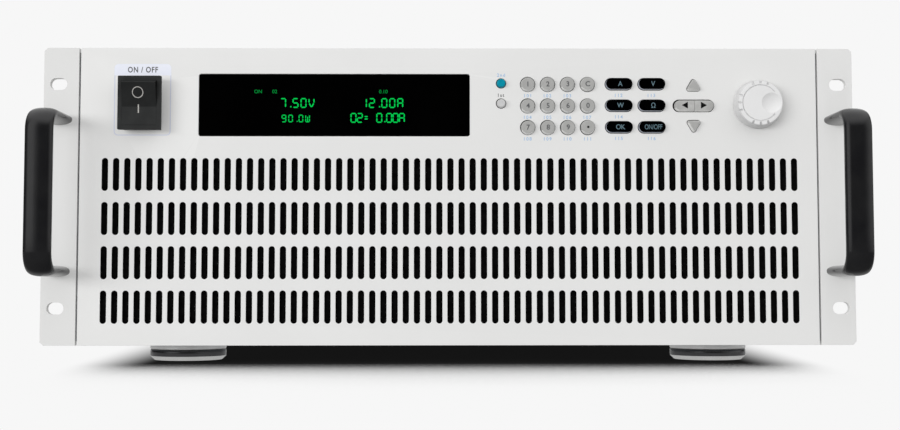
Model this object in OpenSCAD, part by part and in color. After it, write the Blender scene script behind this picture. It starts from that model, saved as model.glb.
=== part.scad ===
// Electronic load in a four-unit rack case, as separate pieces that come apart on a bench.
// The front faces -Y, +X is to the right and +Z is up. Z = 0 is the floor under the feet.

/* [Rack case] */
// Overall width across the two rack ears
ear_span = 482.6; // [482:0.1:483]
// Width of the centre panel
panel_w = 438.9; // [438.3:0.1:439.5]
// Height of the panel and ears
panel_h = 177; // [176:0.5:177.8]
// Thickness of the front panel sheet
panel_t = 2.5; // [2:0.5:3]
// Depth from the panel's face to the rear panel's face
case_depth = 640; // [620:5:700]
// Thickness of the case sheet
sheet_t = 1.5; // [1.2:0.1:2]
// Depth of the folded edges along the panel's top and bottom
fold_depth = 12; // [8:1:14]

/* [Rack ears] */
// Thickness of the ear's front plate
ear_t = 4; // [3:0.5:4.5]
// Visible gap between an ear and the panel
ear_gap = 1.1; // [0.8:0.1:1.2]
// Thickness of the ear's side leg
ear_leg_t = 3; // [2.5:0.5:3]
// Length of the ear's side leg
ear_leg = 70; // [60:5:90]
// Chamfer on the ear's outer corners
ear_chamfer = 2; // [1:0.5:3]
// Rack slot spacing across the case
rack_slot_dx = 465.1; // [465:0.1:465.2]
// Rack slot spacing up the case
rack_slot_dz = 133.35; // [133.3:0.05:133.4]
// Length of a rack slot
rack_slot_l = 10; // [9.5:0.5:11]
// Width of a rack slot
rack_slot_w = 7.1; // [6.5:0.1:7.5]

/* [Handles] */
// Distance from the panel's face to the front of a handle
handle_reach = 40.7; // [36:0.1:45]
// Spacing of a handle's two legs
handle_span = 90.2; // [88:0.2:92]
// Width of the flat handle bar
handle_w = 16; // [14:0.5:17]
// Thickness of the flat handle bar
handle_t = 6.5; // [6:0.5:8]
// Bend radius at the middle of the handle bar
handle_bend_r = 10.5; // [10:0.5:14]
// Radius of the thread in a handle leg
handle_thread_r = 2.1; // [2:0.1:2.2]

/* [Air vents] */
// Rows of vent slots
vent_rows = 4; // [1:1:4]
// Slots in a row
vent_columns = 63; // [20:1:63]
// Slot spacing across the panel
vent_dx = 6.615; // [6.6:0.005:6.62]
// Slot spacing up the panel
vent_dz = 26.2; // [26:0.1:26.3]
// Width of a vent slot
vent_w = 3.7; // [3:0.1:4]
// Height of a vent slot
vent_h = 19.6; // [16:0.1:20]
// Height of the lowest row's middle above the panel's bottom edge
vent_z = 22.6; // [22:0.1:23]

/* [Power switch] */
// Width of the switch's front frame
switch_w = 25.5; // [25:0.1:26]
// Height of the switch's front frame
switch_h = 31.9; // [31:0.1:33]
// Width of the switch's body
switch_body_w = 22.3; // [22:0.1:22.8]
// Height of the switch's body
switch_body_h = 30.2; // [29.8:0.1:30.6]
// How far the switch stands out from the panel
switch_proud = 9; // [8:0.5:10]
// Travel of the rocker between off and on, in degrees
rocker_travel = 14; // [10:1:16]

/* [Display] */
// Width of the display window
window_w = 161.6; // [160:0.1:163]
// Height of the display window
window_h = 37.5; // [37:0.1:38]
// Corner radius of the display window
window_r = 1.5; // [1:0.1:2]

/* [Keys] */
// Diameter of a round key
round_key_d = 8.4; // [8.2:0.1:8.6]
// Round key spacing across the panel
round_key_dx = 11.9; // [11.8:0.1:12.2]
// Length of a long key
long_key_l = 16; // [15:0.1:16.5]
// Width of a long key
long_key_w = 6.8; // [6.4:0.1:7.4]
// Long key spacing across the panel
long_key_dx = 19.6; // [19.5:0.1:20]
// Key row spacing up the panel
key_dz = 12.95; // [12.8:0.05:13.1]
// Gap around a key in its hole
key_gap = 0.4; // [0.3:0.05:0.45]
// How far a key stands out from the panel
key_proud = 3; // [2.4:0.1:3.4]
// Key travel
key_travel = 1; // [0.8:0.1:1]

/* [Knob] */
// Diameter of the knob at the panel
knob_base_d = 28.8; // [28:0.2:30]
// Diameter of the knob's face
knob_face_d = 27; // [26:0.2:27.6]
// How far the knob stands out from the panel
knob_proud = 8.7; // [8.5:0.1:10]
// Diameter of the finger hollow in the knob's face
hollow_d = 12; // [11:0.5:12.5]

/* [Feet] */
// Height of the panel's bottom edge above the floor
foot_h = 11; // [10:0.5:13]
// Diameter of a foot
foot_d = 47; // [46:0.2:49]

/* [Fans] */
// Side of a fan's square frame
fan_side = 120; // [119:0.5:120]
// Depth of a fan
fan_depth = 38; // [32:1:38]
// Spacing of the fans across the rear
fan_dx = 122; // [121:0.5:124]

/* [Input terminals] */
// Width of an input bar
bar_w = 40; // [36:1:42]
// Thickness of an input bar
bar_t = 6; // [5:0.5:8]
// How far the input bars reach behind the rear panel
bar_reach = 38; // [34:1:42]
// Diameter of the lug hole in an input bar
lug_hole_d = 10.5; // [8.4:0.1:11]
// Spacing of the two input bars
bar_dx = 62; // [60:1:66]

/* [Hidden] */
$fn = 48;

// The case in the panel's own frame: y = 0 is the panel's face, z = 0 its bottom edge.
overall_depth = handle_reach + case_depth + bar_reach;
face_y = handle_reach - overall_depth / 2;
ear_inner_x = panel_w / 2 + ear_gap;
tray_x = ear_inner_x;
case_z0 = panel_t;
case_z1 = panel_h - panel_t;
rear_y0 = case_depth - sheet_t;
flange_w = 12;
cut_gap = 0.15;

// Screws: places of the case screws, and of those that hold the panel's folds
screw_r = 1.5;
screw_hole_r = 1.7;
screw_l = 6;
head_r = 3;
flush_hole_r = 3.2;
edge_inset = 7;
top_screws = [for (s = [-1, 1], i = [0:5]) [s * (tray_x - edge_inset), 40 + i * (case_depth - 70) / 5]];
rear_screws = [for (s = [-1, 1], z = [12, 88.5, 165]) [s * (tray_x - edge_inset), z]];
ear_screws = [for (y = [22, 52], z = [24, 88.5, 153]) [y, z]];
fold_screws = [-180, -60, 60, 180];
fold_screw_y = 7.5;

// Rack ears and handles
ear_w = ear_span / 2 - ear_inner_x;
handle_x = 232.2;
handle_z = 88.8;
handle_legs = [handle_z - handle_span / 2, handle_z + handle_span / 2];
bar_y = handle_t / 2 - handle_reach;
handle_screw_gap = 0.1;

// Vents
vent_x = 0.7;
vent_x0 = vent_x - vent_dx * (vent_columns - 1) / 2;

// Power switch, with the rocker's pivot in the middle of its own height and its crease a little lower
switch_x = -182.6;
switch_z = 142.9;
frame_t = 2.5;
rocker_w = 20.2;
cavity_w = 20.6;
cavity_h = 28.2;
cavity_floor_y = 3;
pivot_y = 4 - switch_proud;
rocker_r = 13.8;
rocker_face = 4;
rocker_crease_z = -2.5;
rocker_back = 3;
rocker_pin_r = 1.4;
rocker_pin = 0.7;
rocker_pin_gap = 0.1;
switch_back_y = 24;
blade = [0.8, 8, 6.3];

// Display
window_x = -68.5;
window_z = 142.75;
window_inset = 1;
window_lip = 3;
window_lip_t = 1.5;

// Keys
round_key_x = 46.83;
key_top_z = 155.25;
long_key_x = 101.3;
long_key_z = 155.45;
small_key_d = 5.4;
small_key_x = 30.95;
shift_key_z = 155.85;
local_key_z = 143.75;
arrow_x = 146;
arrow_w = 9.25;
arrow_h = 8;
arrow_r = 1.15;
up_key_z = 155.4;
down_key_z = 129.6;
side_key_l = 23.6;
side_key_w = 6.8;
side_hole_l = 25;
side_hole_w = 7.6;
side_key_z = 142.45;
side_split = 0.3;
key_edge = 0.6;
key_skirt_y = panel_t + 0.3;
key_skirt_t = 1;
key_skirt = 0.95;
dome_y = key_skirt_y + key_skirt_t + key_travel + 0.3;
mat_y = dome_y + 1.6;
mat_t = 1;
dome_base_r = 2.8;
dome_top_r = 1.8;
mat_x = [24, 158];
mat_z = [124, 161];
board_t = 1.6;

// Knob and encoder
knob_x = 184.2;
knob_z = 143.15;
knob_gap = 0.6;
knob_edge_r = 0.9;
hollow_x = 6.6;
hollow_depth = 1.9;
hollow_r = (hollow_d * hollow_d / 4 + hollow_depth * hollow_depth) / (2 * hollow_depth);
groove_r = 10.4;
groove_w = 0.35;
groove_open = 38;
notch_w = 1.3;
notch_l = 2.2;
notch_fall = 33;
shaft_r = 3;
shaft_gap = 0.05;
bushing_r = 3.5;
bushing_proud = 3.2;
knob_recess_r = 8;
knob_recess = 3;
shaft_web = 1.5;

// Feet
foot_x = 163.4;
foot_y = [52, case_depth - 52];
foot_chamfer = 2.6;
foot_top_band = 6.1;
foot_groove = 0.4;
pad_r = 18;
pad_t = 2;

// Fans, which blow out through rings of slots in the rear panel
fan_x0 = -146;
fan_z = 110.5;
fan_y0 = rear_y0 - fan_depth;
fan_bore_r = 57;
fan_hub_r = 24;
fan_screw_dx = 105;
fan_screws = [for (i = [0:2], j = [-1, 1], k = [-1, 1])
    [fan_x0 + i * fan_dx + j * fan_screw_dx / 2, fan_z + k * fan_screw_dx / 2]];
fan_blades = 7;
blade_tilt = 38;
ring_count = 7;
ring_r0 = 17;
ring_dr = 5.8;
ring_w = 4.2;

// Rear connectors: their places, and the width and height of what passes through the rear panel
port_gap = 0.3;
terminal_x = -72;
terminal_z = 26;
terminal_h = 36;
terminal_body = [bar_dx + bar_w + 5, 23];
cheek_t = 4;
bar_inside = 60;
lug_y = case_depth + bar_reach - 16;
inlet_x = 60;
inlet_z = 26;
inlet_body = [27.6, 20];
inlet_recess = [24.6, 17];
inlet_corner = 5;
ground_x = 112;
ground_z = 26;
stud_r = 3;
port_x = 186;
lan_z = 150;
lan_size = [16, 13.6];
usb_z = 126;
usb_size = [12, 10.8];
serial_z = 98;
serial_size = [18, 9];
sense_z = 60;
sense_size = [38, 8.8];

// Inside
sink_w = 118;
sink_y = [70, 560];
sink_h = 92;
sink_base = 8;
fin_t = 1.6;
fin_count = 17;
wall_x = tray_x - sheet_t;
standoff_r = 3;

// A size in x and z, grown by a gap on each side
function around(size, gap) = [size[0] + 2 * gap, size[1] + 2 * gap];

module place() {
    translate([0, face_y, foot_h]) children();
}

// A box between two corners
module block(low, high) {
    translate(low) cube(high - low);
}

// A flat outline drawn in x and z, from y back to y + t
module upright(y, t) {
    translate([0, y + t, 0]) rotate([90, 0, 0]) linear_extrude(t) children();
}

// A round bar along Y
module rod_y(x, z, r, y0, y1) {
    translate([x, y0, z]) rotate([-90, 0, 0]) cylinder(r = r, h = y1 - y0);
}

// A slot or bar outline with round ends, long across
module round_ends(l, w) {
    square([l - w, w], center = true);
    for (s = [-1, 1]) translate([s * (l - w) / 2, 0]) circle(d = w);
}

// A rectangle with round corners
module round_rect(w, h, r) {
    square([w, h - 2 * r], center = true);
    square([w - 2 * r, h], center = true);
    for (i = [-1, 1], j = [-1, 1]) translate([i * (w / 2 - r), j * (h / 2 - r)]) circle(r = r);
}

// A triangle that points up, with its corners rounded and its edges moved out by grow
module arrow(grow = 0) {
    lean = atan2(arrow_w / 2, arrow_h);
    r = arrow_r + grow;
    top = arrow_h / 2 - arrow_r / sin(lean);
    foot = -arrow_h / 2 + arrow_r;
    half = (top - foot) * tan(lean);
    arc = [0, 0.25, 0.5, 0.75, 1];
    polygon(concat(
        [for (t = arc) [r * cos(lean + t * (180 - 2 * lean)), top + r * sin(lean + t * (180 - 2 * lean))]],
        [for (t = arc) let (a = 180 - lean + t * (90 + lean)) [-half + r * cos(a), foot + r * sin(a)]],
        [for (t = arc) let (a = 270 + t * (90 + lean)) [half + r * cos(a), foot + r * sin(a)]]
    ));
}

// Front shell

module vents() {
    for (row = [0:vent_rows - 1], column = [0:vent_columns - 1])
        translate([vent_x0 + column * vent_dx, vent_z + row * vent_dz]) rotate(90) round_ends(vent_h, vent_w);
}

module key_holes() {
    round_hole_d = round_key_d + 2 * key_gap;
    for (i = [0:3], j = [0:2])
        translate([round_key_x + i * round_key_dx, key_top_z - j * key_dz]) circle(d = round_hole_d);
    for (i = [0:1], j = [0:2])
        translate([long_key_x + i * long_key_dx, long_key_z - j * key_dz])
            round_ends(long_key_l + 2 * key_gap, long_key_w + 2 * key_gap);
    for (z = [shift_key_z, local_key_z]) translate([small_key_x, z]) circle(d = small_key_d + 2 * key_gap);
    translate([arrow_x, up_key_z]) arrow(key_gap);
    translate([arrow_x, down_key_z]) rotate(180) arrow(key_gap);
    translate([arrow_x, side_key_z]) round_ends(side_hole_l, side_hole_w);
}

module front_panel() {
    color("gainsboro") place() {
        difference() {
            union() {
                block([-panel_w / 2, 0, 0], [panel_w / 2, panel_t, panel_h]);
                block([-panel_w / 2, 0, 0], [panel_w / 2, fold_depth, panel_t]);
                block([-panel_w / 2, 0, panel_h - panel_t], [panel_w / 2, fold_depth, panel_h]);
            }
            upright(-1, panel_t + 2) {
                vents();
                key_holes();
                translate([window_x, window_z]) round_rect(window_w, window_h, window_r);
                translate([switch_x, switch_z])
                    square(around([switch_body_w, switch_body_h], cut_gap), center = true);
                translate([knob_x, knob_z]) circle(r = bushing_r + 0.1);
            }
            fold_holes();
        }
    }
}

// Countersunk holes for the screws through the panel's top and bottom folds
module fold_holes() {
    for (x = fold_screws) {
        translate([x, fold_screw_y, -1]) cylinder(r = screw_hole_r, h = panel_t + 2);
        translate([x, fold_screw_y, 0]) cylinder(r1 = flush_hole_r, r2 = screw_r, h = screw_hole_r);
        translate([x, fold_screw_y, panel_h - panel_t - 1]) cylinder(r = screw_hole_r, h = panel_t + 2);
        translate([x, fold_screw_y, panel_h - screw_hole_r])
            cylinder(r1 = screw_r, r2 = flush_hole_r, h = screw_hole_r);
    }
}

module ear_outline() {
    polygon([
        [0, 0], [ear_w - ear_chamfer, 0], [ear_w, ear_chamfer],
        [ear_w, panel_h - ear_chamfer], [ear_w - ear_chamfer, panel_h], [0, panel_h]
    ]);
}

module rack_ear() {
    color("lightgray") place() {
        difference() {
            union() {
                upright(0, ear_t) translate([ear_inner_x, 0]) ear_outline();
                block([ear_inner_x, 0, case_z0 + 2], [ear_inner_x + ear_leg_t, ear_leg, case_z1 - 2]);
            }
            for (s = [-1, 1])
                upright(-1, ear_t + 2) translate([rack_slot_dx / 2, panel_h / 2 + s * rack_slot_dz / 2])
                    round_ends(rack_slot_l, rack_slot_w);
            for (z = handle_legs) rod_y(handle_x, z, handle_thread_r + 0.5, -1, ear_t + 1);
            ear_holes();
        }
    }
}

// Holes through the ear's leg and the case side, on the right
module ear_holes() {
    for (p = ear_screws)
        translate([wall_x - 1, p[0], p[1]]) rotate([0, 90, 0]) cylinder(r = screw_hole_r, h = 8);
}

module right_rack_ear() {
    rack_ear();
}

module left_rack_ear() {
    mirror([1, 0, 0]) rack_ear();
}

// A quarter bend of the flat bar about X, from straight up to straight forward
module handle_bend() {
    rotate([180, 0, 0]) rotate([0, 90, 0]) rotate_extrude(angle = 90)
        translate([handle_bend_r, 0]) rotate(90) round_ends(handle_w, handle_t);
}

module handle() {
    color([0.2, 0.2, 0.21]) place() translate([handle_x, 0, 0]) {
        difference() {
            union() {
                for (z = handle_legs)
                    translate([0, 0, z]) rotate([90, 0, 0]) linear_extrude(-bar_y - handle_bend_r)
                        round_ends(handle_w, handle_t);
                translate([0, bar_y, handle_legs[0] + handle_bend_r])
                    linear_extrude(handle_span - 2 * handle_bend_r) round_ends(handle_w, handle_t);
                translate([0, bar_y + handle_bend_r, handle_legs[1] - handle_bend_r]) handle_bend();
                translate([0, bar_y + handle_bend_r, handle_legs[0] + handle_bend_r])
                    mirror([0, 0, 1]) handle_bend();
            }
            for (z = handle_legs) rod_y(0, z, handle_thread_r, -15, 1);
        }
    }
}

module right_handle() {
    handle();
}

module left_handle() {
    mirror([1, 0, 0]) handle();
}

module handle_screws() {
    color("silver") place()
        for (side = [-1, 1], z = handle_legs) {
            difference() {
                rod_y(side * handle_x, z, 4.5, ear_t, ear_t + 3.2);
                translate([side * handle_x, ear_t + 3.3, z]) rotate([90, 0, 0])
                    cylinder(r = 1.7, h = 2, $fn = 6);
            }
            rod_y(side * handle_x, z, handle_thread_r - handle_screw_gap, -13, ear_t);
        }
}

// Case

module chassis_tray() {
    color("silver") place() {
        difference() {
            union() {
                block([-tray_x, panel_t, case_z0], [tray_x, rear_y0, case_z0 + sheet_t]);
                for (s = [0, 1]) mirror([s, 0, 0]) {
                    block([tray_x - sheet_t, panel_t, case_z0], [tray_x, rear_y0, case_z1 - sheet_t]);
                    block([tray_x - flange_w, panel_t, case_z1 - 2 * sheet_t],
                        [tray_x, rear_y0, case_z1 - sheet_t]);
                    block([tray_x - flange_w, rear_y0 - sheet_t, case_z0],
                        [tray_x, rear_y0, case_z1 - sheet_t]);
                }
                block([-tray_x, panel_t, case_z1 - 2 * sheet_t], [tray_x, fold_depth, case_z1]);
            }
            for (s = [-1, 1], y = foot_y) translate([s * foot_x, y, case_z0 - 1]) cylinder(r = 2.2, h = 4);
            for (x = fold_screws, z = [case_z0 - 1, case_z1 - 2 * sheet_t - 1])
                translate([x, fold_screw_y, z]) cylinder(r = screw_hole_r, h = 5);
            for (s = [0, 1]) mirror([s, 0, 0]) ear_holes();
            top_holes();
            rear_holes();
        }
    }
}

module top_holes() {
    for (p = top_screws) translate([p[0], p[1], case_z1 - 2 * sheet_t - 1]) cylinder(r = screw_hole_r, h = 5);
}

module rear_holes() {
    for (p = rear_screws) rod_y(p[0], p[1], screw_hole_r, rear_y0 - 3, case_depth + 1);
}

module top_cover() {
    color("silver") place() difference() {
        block([-tray_x, fold_depth + 0.5, case_z1 - sheet_t], [tray_x, rear_y0, case_z1]);
        top_holes();
    }
}

// Rings of slots, broken by four spokes, in front of a fan
module fan_grille() {
    difference() {
        for (i = [0:ring_count - 1]) difference() {
            circle(r = ring_r0 + i * ring_dr + ring_w);
            circle(r = ring_r0 + i * ring_dr);
        }
        for (a = [45, 135]) rotate(a) square([2 * fan_side, 3.6], center = true);
    }
}

module rear_panel() {
    color("silver") place() {
        difference() {
            block([-tray_x, rear_y0, case_z0], [tray_x, case_depth, case_z1]);
            upright(rear_y0 - 1, sheet_t + 2) {
                for (i = [0:2]) translate([fan_x0 + i * fan_dx, fan_z]) fan_grille();
                for (p = fan_screws) translate(p) circle(r = screw_hole_r);
                translate([terminal_x, terminal_z]) square(around(terminal_body, port_gap), center = true);
                translate([inlet_x, inlet_z]) square(around(inlet_body, port_gap), center = true);
                translate([ground_x, ground_z]) circle(r = stud_r + 0.2);
                translate([port_x, lan_z]) square(around(lan_size, port_gap), center = true);
                translate([port_x, usb_z]) square(around(usb_size, port_gap), center = true);
                translate([port_x, serial_z]) square(around(serial_size, 2 * port_gap), center = true);
                translate([port_x, sense_z]) square(around(sense_size, port_gap), center = true);
            }
            rear_holes();
        }
    }
}

// A pan head screw whose head stands on z = 0, with its shank below
module pan_screw() {
    difference() {
        union() {
            cylinder(r = head_r, h = 1.4);
            translate([0, 0, 1.4]) cylinder(r1 = head_r, r2 = 1.9, h = 0.7);
        }
        cross_slot(2.1);
    }
    translate([0, 0, -screw_l]) cylinder(r = screw_r, h = screw_l);
}

// A countersunk screw whose head is flush with z = 0
module flush_screw() {
    difference() {
        translate([0, 0, -screw_r]) cylinder(r1 = screw_r, r2 = head_r, h = screw_r);
        cross_slot(0);
    }
    translate([0, 0, -screw_l]) cylinder(r = screw_r, h = screw_l - 1);
}

module cross_slot(z) {
    for (a = [0, 90]) rotate(a) translate([0, 0, z]) cube([3.2, 0.8, 1.6], center = true);
}

module case_screws() {
    color("dimgray") place() {
        for (p = top_screws) translate([p[0], p[1], case_z1]) pan_screw();
        for (p = concat(rear_screws, fan_screws))
            translate([p[0], case_depth, p[1]]) rotate([-90, 0, 0]) pan_screw();
        for (s = [0, 1], p = ear_screws) mirror([s, 0, 0])
            translate([ear_inner_x + ear_leg_t, p[0], p[1]]) rotate([0, 90, 0]) pan_screw();
        for (x = fold_screws) {
            translate([x, fold_screw_y, panel_h]) flush_screw();
            translate([x, fold_screw_y, 0]) mirror([0, 0, 1]) flush_screw();
        }
        for (s = [-1, 1], y = foot_y) translate([s * foot_x, y, pad_t - foot_h + 0.2]) {
            cylinder(r = 4, h = 2.6);
            cylinder(r = 2, h = foot_h + 2 * sheet_t);
        }
    }
}

module feet() {
    r = foot_d / 2;
    low = -foot_h;
    color("darkgray") place()
        for (s = [-1, 1], y = foot_y) translate([s * foot_x, y, 0]) difference() {
            rotate_extrude() polygon([
                [0, case_z0], [r, case_z0], [r, case_z0 - foot_top_band + 0.5],
                [r - foot_groove, case_z0 - foot_top_band + 0.5], [r - foot_groove, case_z0 - foot_top_band],
                [r, case_z0 - foot_top_band], [r, low + foot_chamfer + 0.5],
                [r - foot_chamfer, low + 0.4], [0, low + 0.4]
            ]);
            translate([0, 0, low - 1]) cylinder(r = pad_r + 0.2, h = pad_t + 1);
            translate([0, 0, low + pad_t - 1]) cylinder(r = 4.4, h = 4);
            translate([0, 0, low + 1]) cylinder(r = 2.2, h = foot_h + 4);
        }
}

module foot_pads() {
    color([0.1, 0.1, 0.1]) place()
        for (s = [-1, 1], y = foot_y) translate([s * foot_x, y, -foot_h]) cylinder(r = pad_r, h = pad_t);
}

module dust_filter() {
    margin = 4;
    color([0.06, 0.06, 0.06]) place()
        block([vent_x0 - vent_w / 2 - margin, panel_t, vent_z - vent_h / 2 - margin],
            [vent_x0 + (vent_columns - 1) * vent_dx + vent_w / 2 + margin, panel_t + 6,
                vent_z + (vent_rows - 1) * vent_dz + vent_h / 2 + margin]);
}

// Front controls

module display_window() {
    color([0.02, 0.02, 0.02]) place() translate([window_x, 0, window_z]) {
        upright(window_inset, panel_t - window_inset)
            round_rect(window_w - 2 * cut_gap, window_h - 2 * cut_gap, window_r - cut_gap);
        upright(panel_t, window_lip_t)
            round_rect(window_w + 2 * window_lip, window_h + 2 * window_lip, window_r);
    }
}

module display_module() {
    glass_y = panel_t + window_lip_t;
    board_y = glass_y + 8;
    half = [window_w / 2 + 9, window_h / 2 + 3];
    color("darkseagreen") place() translate([window_x, 0, window_z]) {
        block([-window_w / 2 + 4, glass_y, -window_h / 2 + 2], [window_w / 2 - 4, board_y, window_h / 2 - 2]);
        block([-half[0], board_y, -half[1]], [half[0], board_y + board_t, half[1]]);
        for (i = [-1, 1], j = [-1, 1])
            rod_y(i * (half[0] - standoff_r), j * (half[1] - standoff_r - 3), standoff_r, panel_t, board_y);
        for (i = [-1, 0, 1]) block([i * 50 - 12, board_y + board_t, -8], [i * 50 + 12, board_y + 5, 8]);
    }
}

module keypad_board() {
    board_y = mat_y + mat_t;
    color("darkgreen") place() {
        block([mat_x[0] - 2, board_y, mat_z[0] - 3], [mat_x[1] + 4, board_y + board_t, mat_z[1] + 5]);
        for (x = mat_x, z = [mat_z[1] + 2.5])
            rod_y(x, z, 2, panel_t, board_y);
        block([70, board_y + board_t, 134], [100, board_y + 8, 142]);
    }
}

// Places of the keys that press a dome in the mat
key_places = concat(
    [for (i = [0:3], j = [0:2]) [round_key_x + i * round_key_dx, key_top_z - j * key_dz]],
    [for (i = [0:1], j = [0:2]) [long_key_x + i * long_key_dx, long_key_z - j * key_dz]],
    [[small_key_x, shift_key_z], [small_key_x, local_key_z], [arrow_x, up_key_z], [arrow_x, down_key_z]],
    [for (s = [-1, 1]) [arrow_x + s * side_key_l / 4, side_key_z]]
);

module keypad_mat() {
    color("lightgray") place() {
        block([mat_x[0], mat_y, mat_z[0]], [mat_x[1], mat_y + mat_t, mat_z[1]]);
        for (p = key_places)
            translate([p[0], mat_y, p[1]]) rotate([90, 0, 0])
                cylinder(r1 = dome_base_r, r2 = dome_top_r, h = mat_y - dome_y);
    }
}

// A key cap from its outline: the cap, a softened front edge and the skirt that keeps it in
module key_cap(place_xz, paint) {
    color(paint) place() translate([place_xz[0], 0, place_xz[1]]) {
        upright(key_edge - key_proud, key_skirt_y + key_proud - key_edge) children(0);
        upright(-key_proud, key_edge) children(1);
        upright(key_skirt_y, key_skirt_t) children(2);
    }
}

module round_key(at, d, paint) {
    key_cap(at, paint) {
        circle(d = d);
        circle(d = d - key_edge);
        circle(d = d + 2 * key_skirt);
    }
}

// The digit keys, by column and row from the top left
module digit_key(column, row) {
    round_key([round_key_x + column * round_key_dx, key_top_z - row * key_dz], round_key_d, "darkgray");
}

// The long keys, by column and row from the top left
module long_key(column, row) {
    key_cap([long_key_x + column * long_key_dx, long_key_z - row * key_dz], [0.03, 0.03, 0.04]) {
        round_ends(long_key_l, long_key_w);
        round_ends(long_key_l - key_edge, long_key_w - key_edge);
        round_ends(long_key_l + 2 * key_skirt, long_key_w + 2 * key_skirt);
    }
}

module shift_key() {
    round_key([small_key_x, shift_key_z], small_key_d, [0, 0.54, 0.63]);
}

module local_key() {
    round_key([small_key_x, local_key_z], small_key_d, "whitesmoke");
}

// An arrow key that points up, or down when turned
module arrow_key(z, turn) {
    key_cap([arrow_x, z], "darkgray") {
        rotate(turn) arrow();
        rotate(turn) arrow(-key_edge / 2);
        rotate(turn) arrow(key_skirt);
    }
}

module up_key() {
    arrow_key(up_key_z, 0);
}

module down_key() {
    arrow_key(down_key_z, 180);
}

// One end of the pair of side keys, cut off square at the split
module half_bar(side, l, w) {
    intersection() {
        round_ends(l, w);
        translate([side * (l / 2 + side_split / 2), 0]) square([l, w], center = true);
    }
}

module side_key(side) {
    key_cap([arrow_x, side_key_z], "darkgray") {
        half_bar(side, side_key_l, side_key_w);
        half_bar(side, side_key_l - key_edge, side_key_w - key_edge);
        half_bar(side, side_hole_l + 1.6, side_hole_w + 1.6);
    }
}

module left_key() {
    side_key(-1);
}

module right_key() {
    side_key(1);
}

module switch_housing() {
    color([0.13, 0.13, 0.13]) place() translate([switch_x, 0, switch_z]) {
        difference() {
            union() {
                upright(-switch_proud, frame_t) round_rect(switch_w, switch_h, 0.6);
                upright(frame_t - switch_proud, switch_proud - frame_t + switch_back_y)
                    round_rect(switch_body_w, switch_body_h, 0.5);
            }
            upright(-switch_proud - 1, switch_proud + 1 + cavity_floor_y)
                square([cavity_w, cavity_h], center = true);
            translate([-rocker_w / 2 - rocker_pin - 0.1, pivot_y, 0]) rotate([0, 90, 0])
                cylinder(r = rocker_pin_r + rocker_pin_gap, h = rocker_w + 2 * rocker_pin + 0.2);
        }
        for (x = [-6, 6], z = [-8, 4]) translate([x, switch_back_y, z]) cube(blade);
    }
}

// The rocker at rest: its bottom part is pressed in, parallel to the panel, and its top part stands out
module power_rocker() {
    lean = (2 * rocker_r - rocker_crease_z) * tan(rocker_travel);
    color([0.16, 0.16, 0.16]) place() translate([switch_x, pivot_y, switch_z]) {
        intersection() {
            translate([-rocker_w / 2, 0, 0]) rotate([90, 0, 90]) linear_extrude(rocker_w) polygon([
                [-rocker_face, -2 * rocker_r], [-rocker_face, rocker_crease_z],
                [-rocker_face - lean, 2 * rocker_r], [rocker_back - lean, 2 * rocker_r],
                [rocker_back, rocker_crease_z], [rocker_back, -2 * rocker_r]
            ]);
            translate([-rocker_w / 2, 0, 0]) rotate([0, 90, 0]) cylinder(r = rocker_r, h = rocker_w);
        }
        translate([-rocker_w / 2 - rocker_pin, 0, 0]) rotate([0, 90, 0])
            cylinder(r = rocker_pin_r, h = rocker_w + 2 * rocker_pin);
    }
}

module encoder() {
    back = 9;
    color("silver") place() translate([knob_x, 0, knob_z]) {
        difference() {
            union() {
                block([-7, panel_t, -7], [7, panel_t + back, 7]);
                rod_y(0, 0, bushing_r, -bushing_proud, panel_t);
                rotate([90, 0, 0]) cylinder(r = 5.6, h = 2.2, $fn = 6);
            }
            rod_y(0, 0, shaft_r + shaft_gap, -bushing_proud - 1, panel_t + 6);
        }
        block([-10, panel_t + back, -10], [10, panel_t + back + board_t, 10]);
    }
}

module encoder_shaft() {
    tip = shaft_web + hollow_depth - knob_proud;
    color("silver") place() rod_y(knob_x, knob_z, shaft_r, tip, panel_t + 5);
}

// Where the knob's nine rim notches are, in degrees: three groups of three
notch_angles = [for (group = [90, 180, 270], step = [-1, 0, 1]) group + 21 * step];

module adjust_knob() {
    base = knob_base_d / 2;
    face = knob_face_d / 2;
    lean = atan2(base - face, knob_proud - knob_gap);
    color("gainsboro") place() translate([knob_x, -knob_gap, knob_z]) rotate([90, 0, 0]) {
        top = knob_proud - knob_gap;
        difference() {
            rotate_extrude() polygon(concat(
                [[0, 0], [base, 0]],
                [for (t = [0:4]) let (a = lean + t * (90 - lean) / 4)
                    [face - knob_edge_r + knob_edge_r * cos(a), top - knob_edge_r + knob_edge_r * sin(a)]],
                [[0, top]]
            ));
            translate([0, 0, -1]) cylinder(r = knob_recess_r, h = knob_recess + 1);
            translate([0, 0, knob_recess - 1])
                cylinder(r = shaft_r, h = top - hollow_depth - shaft_web - knob_recess + 1);
            translate([hollow_x, 0, top - hollow_depth + hollow_r]) sphere(r = hollow_r);
            rotate(groove_open) rotate_extrude(angle = 360 - 2 * groove_open)
                translate([groove_r, top - 0.4]) square([groove_w, 1]);
            for (a = notch_angles) rotate(a)
                translate([face - notch_l, -notch_w / 2, top - 0.3]) rotate([0, notch_fall, 0])
                    cube([6, notch_w, 4]);
        }
    }
}

// Inside

// The comb outline of a finned heat sink that stands on its two outer walls, base uppermost
module sink_outline() {
    step = (sink_w - fin_t) / (fin_count - 1);
    translate([-sink_w / 2, sink_h - sink_base]) square([sink_w, sink_base]);
    for (i = [0:fin_count - 1]) {
        foot = i == 0 || i == fin_count - 1 ? 0 : 6;
        translate([-sink_w / 2 + i * step, foot]) square([fin_t, sink_h - foot - sink_base]);
    }
}

module heat_sinks() {
    color("silver") place()
        for (i = [0:2]) translate([fan_x0 + i * fan_dx, 0, case_z0 + sheet_t])
            upright(sink_y[0], sink_y[1] - sink_y[0]) sink_outline();
}

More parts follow.
